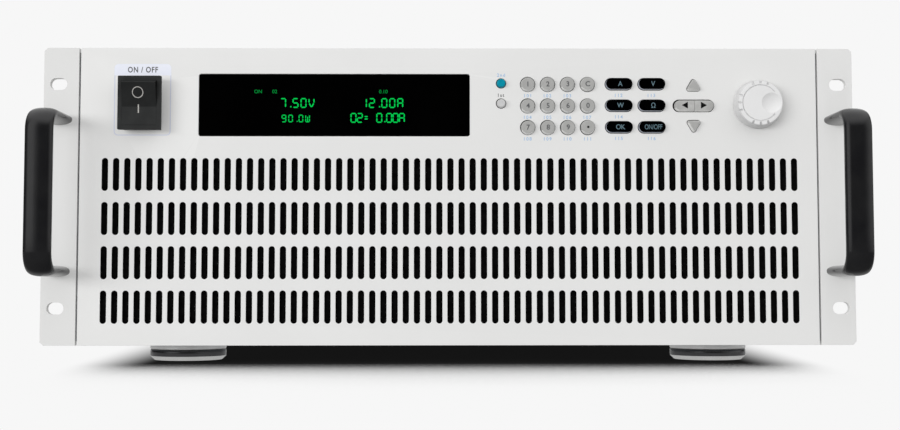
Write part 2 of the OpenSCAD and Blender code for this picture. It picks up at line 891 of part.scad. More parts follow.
// One power board: the switching transistors clamp to the heat sink and the board lies on them
module power_board() {
    base = case_z0 + sheet_t + sink_h;
    lift = 6;
    for (j = [-1, 1], i = [0:11])
        translate([j * 38 - 8, sink_y[0] + 24 + i * 38, base]) cube([16, 21, lift]);
    block([-54, sink_y[0] + 10, base + lift], [54, sink_y[1] - 10, base + lift + board_t]);
    for (i = [0:4]) translate([0, sink_y[0] + 70 + i * 85, base + lift + board_t]) cylinder(r = 15, h = 34);
}

module power_boards() {
    color("darkgreen") place() for (i = [0:2]) translate([fan_x0 + i * fan_dx, 0, 0]) power_board();
}

// A board on the case's right wall, held off it by four pillars
module wall_board(y0, y1, z0, z1) {
    face = wall_x - 8;
    block([face, y0, z0], [face + board_t, y1, z1]);
    for (y = [y0 + 6, y1 - 6], z = [z0 + 6, z1 - 6])
        translate([face + board_t, y, z]) rotate([0, 90, 0]) cylinder(r = standoff_r, h = 8 - board_t);
}

module control_board() {
    face = wall_x - 8;
    color("darkgreen") place() {
        wall_board(420, 600, 40, 160);
        block([face - 3, 480, 86], [face, 512, 118]);
        for (y = [436, 540], z = [60, 130]) block([face - 9, y, z], [face, y + 24, z + 14]);
    }
}

module supply_board() {
    face = wall_x - 8;
    color("darkgreen") place() {
        wall_board(120, 330, 30, 150);
        block([face - 32, 170, 60], [face, 214, 104]);
        for (y = [250, 282]) translate([face - 30, y, 80]) rotate([0, 90, 0]) cylinder(r = 12, h = 30);
        block([face - 18, 230, 112], [face, 310, 140]);
    }
}

// Fans

module fan_frames() {
    strut = 4;
    color([0.08, 0.08, 0.08]) place() for (i = [0:2]) translate([fan_x0 + i * fan_dx, 0, fan_z]) {
        difference() {
            block([-fan_side / 2, fan_y0, -fan_side / 2], [fan_side / 2, rear_y0, fan_side / 2]);
            rod_y(0, 0, fan_bore_r, fan_y0 - 1, rear_y0 + 1);
            for (j = [-1, 1], k = [-1, 1])
                rod_y(j * fan_screw_dx / 2, k * fan_screw_dx / 2, 2.2, fan_y0 - 1, rear_y0 + 1);
        }
        difference() {
            union() {
                rod_y(0, 0, fan_hub_r, fan_y0, fan_y0 + strut);
                for (a = [0:3]) rotate([0, a * 90 + 30, 0])
                    block([fan_hub_r - 2, fan_y0, -2], [fan_bore_r + 1, fan_y0 + strut, 2]);
                rod_y(0, 0, 5, fan_y0, fan_y0 + 12);
            }
            rod_y(0, 0, 2.05, fan_y0 + 2, fan_y0 + 13);
        }
    }
}

// A fan rotor: a cup over the motor, its pin and seven tilted blades
module fan_rotor(index) {
    front = fan_y0 + 6;
    back = rear_y0 - 2.5;
    middle = (front + back) / 2;
    color([0.1, 0.1, 0.1]) place() translate([fan_x0 + index * fan_dx, 0, fan_z]) {
        difference() {
            rod_y(0, 0, fan_hub_r, front, back);
            rod_y(0, 0, fan_hub_r - 2.5, front - 1, back - 3);
        }
        rod_y(0, 0, 2, fan_y0 + 4, back - 2);
        intersection() {
            for (i = [0:fan_blades - 1]) rotate([0, i * 360 / fan_blades, 0])
                translate([fan_hub_r - 1, middle, 0]) rotate([blade_tilt, 0, 0])
                    translate([0, -18, -1]) cube([40, 36, 2]);
            difference() {
                rod_y(0, 0, fan_bore_r - 1, front, back);
                rod_y(0, 0, fan_hub_r - 1, front - 1, back + 1);
            }
        }
    }
}

// Rear connectors

module terminal_block() {
    half = bar_dx / 2 + bar_w / 2 + 8;
    slot = [bar_w + 0.4, bar_t + 0.4];
    color([0.1, 0.1, 0.11]) place() translate([terminal_x, 0, terminal_z]) {
        difference() {
            union() {
                upright(case_depth, 8) round_rect(2 * half, terminal_h, 3);
                block([-terminal_body[0] / 2, case_depth - 12, -terminal_body[1] / 2],
                    [terminal_body[0] / 2, case_depth, terminal_body[1] / 2]);
                for (x = [-half, -cheek_t / 2, half - cheek_t])
                    block([x, case_depth, -terminal_h / 2],
                        [x + cheek_t, case_depth + bar_reach, terminal_h / 2]);
            }
            for (s = [-1, 1]) block(
                [s * bar_dx / 2 - slot[0] / 2, case_depth - 13, -slot[1] / 2],
                [s * bar_dx / 2 + slot[0] / 2, case_depth + 9, slot[1] / 2]);
        }
    }
}

module input_bar(side) {
    x = terminal_x + side * bar_dx / 2;
    color("peru") place() difference() {
        block([x - bar_w / 2, case_depth - bar_inside, terminal_z - bar_t / 2],
            [x + bar_w / 2, case_depth + bar_reach, terminal_z + bar_t / 2]);
        translate([x, lug_y, terminal_z - bar_t]) cylinder(d = lug_hole_d, h = 2 * bar_t);
    }
}

module positive_bar() {
    input_bar(-1);
}

module negative_bar() {
    input_bar(1);
}

// A connector shell behind the rear panel, with a square opening to the rear
module jack(size, depth, opening) {
    difference() {
        block([-size[0] / 2, case_depth - depth, -size[1] / 2],
            [size[0] / 2, case_depth + 0.6, size[1] / 2]);
        block([-opening[0] / 2, case_depth - depth + 2, -opening[1] / 2],
            [opening[0] / 2, case_depth + 1, opening[1] / 2]);
    }
}

module signal_ports() {
    color("silver") place() {
        translate([port_x, 0, lan_z]) jack(lan_size, 18, [11.8, 8.2]);
        translate([port_x, 0, usb_z]) {
            jack(usb_size, 16, [8.6, 7.8]);
            block([-2.8, case_depth - 15, -1.6], [2.8, case_depth - 1, 1.6]);
        }
        translate([port_x, 0, serial_z]) {
            upright(case_depth, 1) round_rect(31, 12.6, 1);
            upright(case_depth - 10, 16) round_rect(serial_size[0], serial_size[1], 2.6);
            for (s = [-1, 1]) translate([s * 12.5, case_depth + 1, 0]) rotate([-90, 0, 0])
                cylinder(r = 2.9, h = 4, $fn = 6);
        }
        translate([port_x, 0, sense_z]) {
            block([-sense_size[0] / 2, case_depth - 10, -sense_size[1] / 2],
                [sense_size[0] / 2, case_depth, sense_size[1] / 2]);
            block([-20.5, case_depth, -6], [20.5, case_depth + 8, 6]);
        }
    }
}

module mains_inlet() {
    half = inlet_recess / 2;
    corner = inlet_corner;
    color([0.1, 0.1, 0.1]) place() translate([inlet_x, 0, inlet_z]) {
        difference() {
            union() {
                upright(case_depth, 3) round_rect(50, 24, 3);
                block([-inlet_body[0] / 2, case_depth - 18, -inlet_body[1] / 2],
                    [inlet_body[0] / 2, case_depth, inlet_body[1] / 2]);
            }
            upright(case_depth - 15, 20) polygon([
                [-half[0], -half[1]], [half[0], -half[1]],
                [half[0], half[1] - corner], [half[0] - corner, half[1]],
                [corner - half[0], half[1]], [-half[0], half[1] - corner]
            ]);
            for (s = [-1, 1]) rod_y(s * 20, 0, 1.7, case_depth - 1, case_depth + 4);
        }
        for (p = [[-7, 0.5], [7, 0.5], [0, 4.5]])
            block([p[0] - 1, case_depth - 16, p[1] - 2], [p[0] + 1, case_depth - 1, p[1] + 2]);
    }
}

module ground_stud() {
    washer_t = 1.2;
    nut_t = 5;
    nut_r = 5.77;
    color("gold") place() translate([ground_x, 0, ground_z]) {
        rod_y(0, 0, stud_r, case_depth - 10, case_depth + 18);
        rod_y(0, 0, 7, case_depth, case_depth + washer_t);
        for (y = [case_depth + washer_t, rear_y0 - nut_t])
            translate([0, y, 0]) rotate([-90, 0, 0]) cylinder(r = nut_r, h = nut_t, $fn = 6);
    }
}

front_panel();
left_rack_ear();
right_rack_ear();
left_handle();
right_handle();
handle_screws();
chassis_tray();
top_cover();
rear_panel();
case_screws();
feet();
foot_pads();
dust_filter();
display_window();
display_module();
keypad_board();
keypad_mat();
digit_key(0, 0);  // key_1
digit_key(1, 0);  // key_2
digit_key(2, 0);  // key_3
digit_key(3, 0);  // escape_key
digit_key(0, 1);  // key_4
digit_key(1, 1);  // key_5
digit_key(2, 1);  // key_6
digit_key(3, 1);  // key_0
digit_key(0, 2);  // key_7
digit_key(1, 2);  // key_8
digit_key(2, 2);  // key_9
digit_key(3, 2);  // point_key
long_key(0, 0);  // amps_key
long_key(1, 0);  // volts_key
long_key(0, 1);  // watts_key
long_key(1, 1);  // ohms_key
long_key(0, 2);  // enter_key
long_key(1, 2);  // input_key
up_key();
down_key();
left_key();
right_key();
shift_key();
local_key();
switch_housing();
power_rocker();
encoder();
encoder_shaft();
adjust_knob();
heat_sinks();
power_boards();
control_board();
supply_board();
fan_frames();
fan_rotor(0);  // fan_rotor_1
fan_rotor(1);  // fan_rotor_2
fan_rotor(2);  // fan_rotor_3
terminal_block();
positive_bar();
negative_bar();
signal_ports();
mains_inlet();
ground_stud();
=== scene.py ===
# %% [markdown]
# # An electronic load in a rack case, dressed for a product photograph
#
# The CAD model already holds every solid of this instrument, with its joints, in metres. Blender's
# part is the look: paint, moulded keys, a glowing display, plated feet. So the first step loads the
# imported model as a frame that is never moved, and everything made below sits on it.

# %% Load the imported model
from math import atan2, copysign, cos, degrees, pi, radians, sin, tan

import bmesh
import bpy
from mathutils import Matrix, Vector


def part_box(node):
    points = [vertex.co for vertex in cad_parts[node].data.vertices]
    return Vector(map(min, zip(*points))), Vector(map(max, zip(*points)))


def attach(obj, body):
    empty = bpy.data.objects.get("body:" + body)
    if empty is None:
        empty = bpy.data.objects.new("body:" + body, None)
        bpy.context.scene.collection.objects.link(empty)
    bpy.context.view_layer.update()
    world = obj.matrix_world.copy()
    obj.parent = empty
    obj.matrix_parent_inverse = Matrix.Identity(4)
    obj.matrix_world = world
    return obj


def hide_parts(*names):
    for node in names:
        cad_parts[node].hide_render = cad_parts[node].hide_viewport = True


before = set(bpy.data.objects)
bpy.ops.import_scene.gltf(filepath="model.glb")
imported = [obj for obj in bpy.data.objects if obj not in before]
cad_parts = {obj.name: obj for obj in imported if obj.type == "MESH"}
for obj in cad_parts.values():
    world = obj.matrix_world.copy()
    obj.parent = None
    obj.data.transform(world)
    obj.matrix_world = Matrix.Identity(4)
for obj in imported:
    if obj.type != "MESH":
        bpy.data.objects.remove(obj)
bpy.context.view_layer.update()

scene = bpy.context.scene

# %% [markdown]
# ## Millimetres on the front panel
#
# A maker reads this instrument from its front panel: so far across, so far up from the bottom edge,
# so far out of the face. Blender counts in metres from the floor. Two small functions turn the first
# way into the second and back, and two more find the corners and the middle of a CAD node in panel
# millimetres, so that a key cap or a printed mark goes where the CAD put its node.

# %% Millimetres on the front panel
MM = 0.001
panel_low, panel_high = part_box("front_panel")


def on_panel(x, y, z):
    """A point x across, y behind the panel's face and z above its bottom edge, in millimetres."""
    return Vector((x * MM, panel_low.y + y * MM, panel_low.z + z * MM))


def from_panel(place):
    """A point in panel millimetres: across, behind the face and above the bottom edge."""
    return [(a - b) / MM for a, b in zip(place, (0.0, panel_low.y, panel_low.z))]


def corners(name):
    """The low and the high corner of a CAD node in panel millimetres."""
    return [from_panel(corner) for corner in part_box(name)]


def middle(name):
    """The middle of a CAD node in panel millimetres, across and up."""
    low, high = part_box(name)
    x, _, z = from_panel((low + high) / 2)
    return x, z


print("panel from", tuple(round(v, 4) for v in panel_low), "to", tuple(round(v, 4) for v in panel_high))

# %% [markdown]
# ## The camera
#
# The photograph was taken some 770 mm in front of the panel, low down, with the lens tilted up by
# three degrees. Those numbers came from fitting a pinhole camera to the four rack slots and the
# panel's edges. On a sensor 36 mm wide the lens is 52 mm long.

# %% The camera
LENS, SENSOR = 52.0, 36.0
CAMERA_PLACE, CAMERA_TILT = (-7.8, -770.6, 32.2), (93.333, 0.033, -0.608)


def placed(name, data):
    """A new object in the scene that shows this mesh, lamp or camera."""
    made = bpy.data.objects.new(name, data)
    scene.collection.objects.link(made)
    return made


lens = bpy.data.cameras.new("camera")
lens.lens, lens.sensor_width, lens.sensor_fit = LENS, SENSOR, "HORIZONTAL"
camera = placed("camera", lens)
camera.location = on_panel(*CAMERA_PLACE)
camera.rotation_euler = [radians(turn) for turn in CAMERA_TILT]
scene.camera = camera
scene.view_settings.view_transform = "Standard"
print("camera at", tuple(round(v, 4) for v in camera.location))

# %% [markdown]
# ## Colours and shader nodes
#
# A hex value from a colour card is coded for the screen, while the shader wants plain light, so one
# function turns it. A second one clears a world's or a material's nodes. A third one adds a shader
# node, gives it its settings and links its inputs: a value that is itself a node or a socket is
# linked, and anything else is typed in. Blender's names for these nodes all start with ShaderNode,
# so the function puts that in front.

# %% Colours and shader nodes
def linear(card):
    """The linear colour of a hex value such as #E4E4E2."""
    parts = [int(card[i:i + 2], 16) / 255 for i in (1, 3, 5)]
    parts = [c / 12.92 if c <= 0.04045 else ((c + 0.055) / 1.055) ** 2.4 for c in parts]
    return (*parts, 1.0)


def emptied(owner):
    """The node tree of a world or a material, with nothing in it."""
    owner.use_nodes = True
    owner.node_tree.nodes.clear()
    return owner.node_tree


def node(tree, kind, inputs=None, **settings):
    """Adds a shader node with its settings, and sets or links its inputs."""
    made = tree.nodes.new("ShaderNode" + kind)
    for name, value in settings.items():
        setattr(made, name, value)
    for name, value in (inputs or {}).items():
        if isinstance(value, bpy.types.Node):
            value = value.outputs[0]
        if isinstance(value, bpy.types.NodeSocket):
            tree.links.new(value, made.inputs[name])
        else:
            made.inputs[name].default_value = value
    return made


print("panel grey in linear light:", round(linear("#E4E4E2")[0], 3))

# %% [markdown]
# ## The studio
#
# The photograph has a white backdrop, very soft shadows, and reflections of tall white cards left and
# right of the camera, while straight behind the camera it is dark: that is why the window and the
# long keys look black. The world shows each kind of ray what it needs. The camera sees white, soft
# light comes in evenly from all round, and a reflection sees the backdrop and the cards by its
# direction.

# %% The studio
BACKDROP = linear("#F7F7F7")[0]
AMBIENT = 0.957

# Each card: where it starts, is full, is still full and ends, in degrees round from the camera's
# side towards +X, and how bright it is
cards = [
    (-70, -47, -30, -12, 0.95),
    (22, 60, 95, 125, 0.68),
    (130, 150, 190, 200, BACKDROP),
    (-200, -190, -150, -130, BACKDROP),
]
# The ceiling: how steeply up a reflection has to look for it to start and to be full, and how bright
# the room is below it and there
CEILING = {1: 0.35, 2: 0.9, 3: 0.007, 4: 1.1}

scene.world = bpy.data.worlds.new("studio")
tree = emptied(scene.world)
ray = node(tree, "LightPath")
facing = node(tree, "SeparateXYZ", {0: node(tree, "TexCoord").outputs["Generated"]})
forward = node(tree, "Math", {0: facing.outputs["Y"], 1: -1.0}, operation="MULTIPLY")
around = node(tree, "Math", {0: facing.outputs["X"], 1: forward}, operation="ARCTAN2")
seen = node(tree, "MapRange", {0: facing.outputs["Z"], **CEILING}, interpolation_type="SMOOTHSTEP")
for start, full, still, end, level in cards:
    rise, fall = (node(tree, "MapRange", {0: around, 1: radians(a), 2: radians(b), 3: low, 4: high},
                       interpolation_type="SMOOTHSTEP")
                  for a, b, low, high in ((start, full, 0.0, level), (still, end, level, 0.0)))
    card = node(tree, "Math", {0: rise, 1: fall}, operation="MINIMUM")
    seen = node(tree, "Math", {0: seen, 1: card}, operation="MAXIMUM")
mirrored = node(tree, "Mix", {0: ray.outputs["Is Glossy Ray"], 2: AMBIENT, 3: seen})
straight = node(tree, "Math", {0: ray.outputs["Is Camera Ray"], 1: ray.outputs["Is Transmission Ray"]},
                operation="MAXIMUM")
level = node(tree, "Mix", {0: straight, 2: mirrored, 3: BACKDROP})
light = node(tree, "Background", {"Color": level, "Strength": 1.0})
node(tree, "OutputWorld", {"Surface": light})
print("cards in the reflections:", len(cards))

# %% [markdown]
# ## Lamps
#
# Most of the light comes from the white room itself. The key lamp only adds a direction: it is a
# large soft box far out to the left in front of the panel and hardly higher than it, and gives the
# knob, the switch and the left handle their faint shadow to the right. A second one behind does the
# same for the rear panel. Both stay out of reflections, because the cards are there for those.

# %% Lamps
def soft_box(name, place, aim, size, watts):
    """A rectangular area lamp, pointed at a place."""
    data = bpy.data.lights.new(name, "AREA")
    data.shape, data.energy = "RECTANGLE", watts
    data.size, data.size_y = size
    made = placed(name, data)
    made.location = place
    made.rotation_euler = (Vector(aim) - Vector(place)).to_track_quat("-Z", "Y").to_euler()
    made.visible_glossy = False


# In metres: where a lamp stands (aside, out, up), what it points at and its size, and then its power
LAMP, AIM, LAMP_SIZE, WATTS = (3.69, 5.05, 0.75), (0.0, 0.32, 0.1), (4.3, 1.6), 150.0
for name, side in (("key_box", -1), ("rear_box", 1)):
    place, aim = ((side * x, side * y, z) for x, y, z in (LAMP, AIM))
    soft_box(name, place, aim, LAMP_SIZE, WATTS)

# %% [markdown]
# ## The floor
#
# The floor is white paper that runs out into the backdrop with no line. All that the photograph shows
# of it is the soft shadow under the case. The floor takes no light: it glows, and its tone paints that
# shadow in. Ambient occlusion counts how much of the sky a spot can see, and a ramp gives each share
# of sky its tone, as read off the photograph. To the left and right of the case the painted shadow
# fades out with distance from the case's edge, faster at the front than further back. Reflections see
# a painted tone on the paper: grey under the case and dark in front of it. The soft light that the
# paper throws back onto the instrument is held down, because undersides stay dark there.

# %% The floor
BOUNCE = 0.45
# The floor's painted tone in reflections: how far behind the panel's face it turns, and its tones before
# and after
MIRRORED = {1: -0.02, 2: 0.01, 3: 0.12, 4: 0.42}
# How far out the painted shadow starts and ends fading beside the case: for each metre back, and at the
# face
STARTS, ENDS = (0.04, 0.1757), (0.11, 0.2237)
SKY_REACH = 0.30
FLOOR_REACH = 6
tones = [(0.0, 0.007), (0.09, 0.0125), (0.49, 0.019), (0.535, 0.045), (0.57, 0.17), (0.592, 0.305),
         (0.613, 0.38), (0.663, 0.481), (0.704, 0.588), (0.775, 0.807), (0.817, 0.896), (0.89, BACKDROP)]

floor_finish = bpy.data.materials.new("paper_floor")
floor_finish.cycles.emission_sampling = "NONE"
tree = emptied(floor_finish)
ray = node(tree, "LightPath")
spot = node(tree, "SeparateXYZ", {0: node(tree, "TexCoord").outputs["Object"]})
sky = node(tree, "AmbientOcclusion", {"Distance": SKY_REACH}, samples=16).outputs["AO"]
tone = node(tree, "ValToRGB", {0: sky})
stops = tone.color_ramp.elements
for k, (place, value) in enumerate(tones):
    stop = stops[k] if k < 2 else stops.new(place)
    stop.position, stop.color = place, (value, value, value, 1.0)
aside = node(tree, "Math", {0: spot.outputs["X"]}, operation="ABSOLUTE")
back = node(tree, "Math", {0: spot.outputs["Y"], 1: panel_low.y}, operation="SUBTRACT")
starts, ends = (node(tree, "Math", {0: back, 1: a, 2: b}, operation="MULTIPLY_ADD")
                for a, b in (STARTS, ENDS))
shadow_fade_aside = node(tree, "MapRange", {0: aside, 1: starts, 2: ends}, interpolation_type="SMOOTHSTEP")
seen_tone = node(tree, "Mix", {0: shadow_fade_aside, 2: tone, 3: BACKDROP})
# Painted reflection: the floor's tone in reflections is set by how far behind the panel's face a spot lies
mirrored = node(tree, "MapRange", {0: back, **MIRRORED})
thrown = node(tree, "Mix", {0: ray.outputs["Is Glossy Ray"], 2: BOUNCE, 3: mirrored})
strength = node(tree, "Mix", {0: ray.outputs["Is Camera Ray"], 2: thrown, 3: seen_tone})
white = node(tree, "Emission", {"Strength": strength})
node(tree, "OutputMaterial", {"Surface": white})

sheet = bpy.data.meshes.new("floor")
square = (-1, -1), (1, -1), (1, 1), (-1, 1)
sheet.from_pydata([(x * FLOOR_REACH, y * FLOOR_REACH, 0) for x, y in square], [], [(0, 1, 2, 3)])
sheet.materials.append(floor_finish)
floor = placed("floor", sheet)
print("floor", tuple(floor.dimensions))

# %% [markdown]
# ## A finish
#
# A real surface is never one flat colour. Paint lies a little thicker here and thinner there, a
# mould leaves fine grain, and edges rub paler. This function builds those three from noise whose
# scale is a real size in millimetres: slow patches between two near colours, fine grain that moves
# both the height and the roughness, and edges found by how sharply the surface bends there. The
# finishes below differ in their numbers, and a few get more.

# %% A finish
def finish(name, light, dark, patch, grain, relief, rough, stretch=(1.0, 1.0, 1.0), edge=None, **sockets):
    """A finish of two near colours in patches, grain of so many millimetres and height, and worn edges."""
    made = bpy.data.materials.new(name)
    tree = emptied(made)
    place = node(tree, "Mapping", {0: node(tree, "TexCoord").outputs["Object"], "Scale": stretch})
    patches, grains = (node(tree, "TexNoise", {"Vector": place, "Scale": 1 / (size * MM), "Detail": detail})
                       for size, detail in ((patch, 3.0), (grain, 2.0)))
    depth = node(tree, "MapRange", {0: patches, 1: 0.35, 2: 0.65})
    colour = node(tree, "Mix", {0: depth, 6: linear(dark), 7: linear(light)}, data_type="RGBA").outputs[2]
    if edge:
        bend = node(tree, "NewGeometry").outputs["Pointiness"]
        sharp = node(tree, "MapRange", {0: bend, 1: 0.52, 2: 0.60, 3: 0.0, 4: 0.6})
        edge_wear_and_rim_highlight = node(tree, "Math", {0: sharp, 1: patches}, operation="MULTIPLY")
        colour = node(tree, "Mix", {0: edge_wear_and_rim_highlight, 6: colour, 7: linear(edge)}, data_type="RGBA").outputs[2]
    matt = node(tree, "MapRange", {0: grains, 1: 0.3, 2: 0.7, 3: rough[0], 4: rough[1]})
    bump = node(tree, "Bump", {"Strength": 1.0, "Distance": relief * MM, "Height": grains})
    names = {key.replace("_", " ").title().replace("Ior", "IOR"): value for key, value in sockets.items()}
    shader = node(tree, "BsdfPrincipled",
                  {"Base Color": colour, "Roughness": matt, "Normal": bump, **names}, name="surface")
    node(tree, "OutputMaterial", {"Surface": shader})
    return made


# %% [markdown]
# ## Coated sheet metal
#
# The panel and ears are steel with a light grey powder coat. Powder melts and flows before it sets,
# and leaves a soft ripple like orange peel, about a millimetre across and a few microns high. It
# gives the eye a calm, half-matt face with no sharp reflections. The walls of the punched vent slots
# get a near-black finish instead: that is painted shade, for the shade inside the slots.
#
# The case behind is bare zinc-plated steel. Rolling leaves fine lines along the sheet, and the zinc
# is bluish and a little cloudy.

# %% Coated sheet metal
panel_paint, ear_paint = (finish(name, light, dark, 60, 1.0, 0.004, (0.42, 0.52), edge="#F2F2F1")
                          for name, light, dark in (("powder_coat_panel", "#E6E6E5", "#E4E4E3"),
                                                    ("powder_coat_ears", "#E0E0DF", "#DDDDDC")))
# Painted shade: a near-black finish for the walls of the vent slots, where the shade lies
slot_wall_painted_shade = finish("slot_walls_painted_shade", "#1A1A1A", "#0C0C0C", 8, 0.4, 0.004, (0.6, 0.8),
                      specular_ior_level=0.1)
zinc = finish("zinc_plated_steel", "#BBBFC2", "#B0B4B8", 25, 0.5, 0.003, (0.30, 0.45),
              stretch=(1.0, 0.08, 1.0), metallic=0.9)
print("sheet finishes", panel_paint.name, ear_paint.name, zinc.name)

# %% [markdown]
# ## Moulded plastics and rubber
#
# Key caps, knob and switch come out of steel moulds that were spark-eroded to a fine matt grain,
# about 0.15 mm between bumps. That is too fine for this picture, so it is drawn at 0.3 mm. ABS has an
# IOR of 1.53 and nylon, in the switch, about the same. The mat under the keys is silicone, softer
# and duller. Foam in the dust filter is an open net of cells.

# %% Moulded plastics and rubber
def moulded(name, light, dark, patch, relief, rough, **sockets):
    """A plastic out of a spark-eroded mould, with the IOR of ABS unless another is given."""
    return finish(name, light, dark, patch, 0.3, relief, rough, **{"ior": 1.53, **sockets})


grey_abs = moulded("abs_key_grey", "#ADADAB", "#A7A7A5", 4, 0.004, (0.42, 0.55), edge="#D8D8D6")
# Painted highlight: a paler copy of the grey keys' plastic, for the downward faces of their rims
rim_highlight_abs = moulded("abs_key_grey_rubbed", "#E2E2E0", "#D6D6D4", 4, 0.002, (0.3, 0.4))
black_abs = moulded("abs_key_black", "#010102", "#000001", 4, 0.002, (0.3, 0.4), specular_ior_level=0.02)
rim_abs = moulded("abs_key_body", "#A9AFBC", "#989EAC", 4, 0.003, (0.35, 0.5))
teal_abs = moulded("abs_key_teal", "#0090A8", "#00849C", 3, 0.003, (0.5, 0.6), edge="#3FB2C4",
                   specular_ior_level=0.06)
white_abs = moulded("abs_key_white", "#CCCCCC", "#C4C4C4", 3, 0.003, (0.4, 0.5))
knob_abs = moulded("abs_knob_white", "#E7E7E7", "#E4E4E4", 20, 0.003, (0.5, 0.6))
# Painted shade: a darker copy of the knob's white, with coarser grip grain, for the knob's side and its
# notches
knob_grip_painted_shade = moulded("abs_knob_white_grip_painted_shade", "#D6D6D6", "#D0D0D0", 20, 0.006, (0.6, 0.7))
switch_nylon, rocker_nylon = (
    moulded(name, "#323333", "#2D2E2E", 8, 0.006, (0.5, 0.6), specular_ior_level=0.15)
    for name in ("nylon_switch", "nylon_rocker"))
# Painted shade: a darker copy of the rocker's nylon, for its upper part
rocker_painted_shade = moulded("nylon_rocker_upper_half_painted_shade", "#272828", "#232424", 8, 0.006, (0.55, 0.65),
                      specular_ior_level=0.1)
# Painted shade: near-black for what sits in a gap, the key skirts behind the panel and the rocker's sides
gap_painted_shade = moulded("nylon_gap_painted_shade", "#060606", "#020202", 4, 0.003, (0.7, 0.8), ior=1.5,
                    specular_ior_level=0.1)
plug_green = finish("pa_plug_green", "#3C7F52", "#357449", 8, 0.4, 0.006, (0.45, 0.6), edge="#74A886",
                    ior=1.53)
terminal_plastic = finish("pbt_terminal_black", "#222324", "#1B1C1D", 12, 0.4, 0.008, (0.45, 0.6),
                          edge="#4A4B4C")
fan_plastic = finish("pbt_fan_black", "#1B1C1D", "#151516", 15, 0.4, 0.006, (0.4, 0.55), edge="#3A3B3C")
silicone = finish("silicone_mat", "#9EA0A1", "#909293", 10, 0.5, 0.004, (0.6, 0.75), ior=1.41)
pad_rubber = finish("rubber_pad", "#1E1E1F", "#151516", 6, 0.5, 0.02, (0.75, 0.9))
filter_foam = finish("polyurethane_foam", "#111111", "#070707", 2.5, 0.9, 0.4, (0.9, 1.0),
                     specular_ior_level=0.05)
print("plastics and rubber ready")

# %% [markdown]
# ## Metals
#
# The handles are aluminium with a black coat that is satin, not glossy: the cards show on it as soft
# stripes. Screws, connector shells, bars, stud and heat sinks are bare or plated. A metal keeps
# Blender's own IOR, and its colour is its reflection. Brushed or rolled ones get grain that is much
# longer one way.

# %% Metals
black_coat = finish("black_coated_aluminium", "#1E1E1F", "#18181A", 12, 0.4, 0.002, (0.12, 0.18),
                    edge="#2E2E2F")
bright_steel = finish("nickel_plated_steel", "#C9C9C6", "#B4B4B2", 3, 0.2, 0.002, (0.18, 0.3), metallic=1.0)
satin_metal = finish("satin_nickel", "#C4C4C2", "#B2B2B0", 10, 0.3, 0.002, (0.3, 0.42),
                     stretch=(1.0, 1.0, 6.0), metallic=1.0)
sink_metal = finish("extruded_aluminium", "#C8CACC", "#B8BABD", 12, 0.3, 0.004, (0.32, 0.48),
                    stretch=(1.0, 0.05, 1.0), metallic=1.0)
port_metal = finish("tinned_steel", "#BDBFC0", "#A5A8AA", 4, 0.3, 0.003, (0.25, 0.4), metallic=1.0)
copper = finish("copper_bar", "#C98A63", "#B3704B", 9, 0.35, 0.004, (0.28, 0.45),
                stretch=(1.0, 0.08, 1.0), metallic=1.0)
brass = finish("brass_stud", "#D0B163", "#B9974A", 4, 0.25, 0.003, (0.22, 0.38), metallic=1.0)
foot_pale = finish("chrome_plated_ring", "#F2F2F1", "#E8E8E7", 8, 0.3, 0.002, (0.28, 0.36), metallic=0.35)
foot_dark = finish("black_chrome_band", "#5E5E60", "#575759", 8, 0.3, 0.001, (0.22, 0.28), metallic=1.0)
foot_rim = finish("bright_turned_rim", "#F8F8F7", "#F2F2F1", 8, 0.3, 0.002, (0.22, 0.28), metallic=0.9)
print("metals ready")

# %% [markdown]
# ## Boards, window and inks
#
# Circuit boards are green solder mask over glass cloth, with copper tracks that show as a paler
# green. A brick pattern turned into thin lines stands for the tracks, 1.2 mm apart. The window is
# smoked acrylic, so dark that only the lit figures come through. The figures are a phosphor that
# glows green, and the marks are screen-printed ink.

# %% Boards, window and inks
board_mask = finish("circuit_board_mask", "#1F5A33", "#184A2A", 8, 0.4, 0.003, (0.3, 0.42))
tree = board_mask.node_tree
surface = tree.nodes["surface"]
under = surface.inputs["Base Color"].links[0].from_socket
tracks = node(tree, "TexBrick", {
    "Vector": node(tree, "TexCoord").outputs["Object"], "Scale": 1 / (12 * MM),
    "Mortar Size": 0.03, "Color1": (0, 0, 0, 1), "Color2": (0, 0, 0, 1), "Mortar": (1, 1, 1, 1)})
traced = node(tree, "Mix", {0: tracks, 6: under, 7: linear("#5E9A55")}, data_type="RGBA")
tree.links.new(traced.outputs[2], surface.inputs["Base Color"])

acrylic = finish("smoked_acrylic", "#010101", "#000000", 40, 2.0, 0.0006, (0.05, 0.09), ior=1.49,
                 specular_ior_level=0.35)
mark_dark, mark_pale, mark_blue, mark_white = (
    finish(name, light, dark, 1.5, 0.3, 0.001, (0.6, 0.7)) for name, light, dark in (
        ("ink_dark_grey", "#606163", "#57585A"), ("ink_blue_grey", "#68848F", "#5A7581"),
        ("ink_sky_blue", "#A8C4E2", "#9CBBDD"), ("ink_warm_white", "#BAB8B4", "#AAA8A4")))
mark_black = finish("ink_black", "#0E0E0F", "#09090A", 1.5, 0.3, 0.001, (0.6, 0.7), specular_ior_level=0.15)
band_ink = finish("ink_pale_lavender", "#EDF0FA", "#E9ECF8", 10, 0.5, 0.001, (0.5, 0.6))
frame_ink = finish("ink_lavender_line", "#D5D9E8", "#CFD3E4", 10, 0.5, 0.001, (0.5, 0.6))


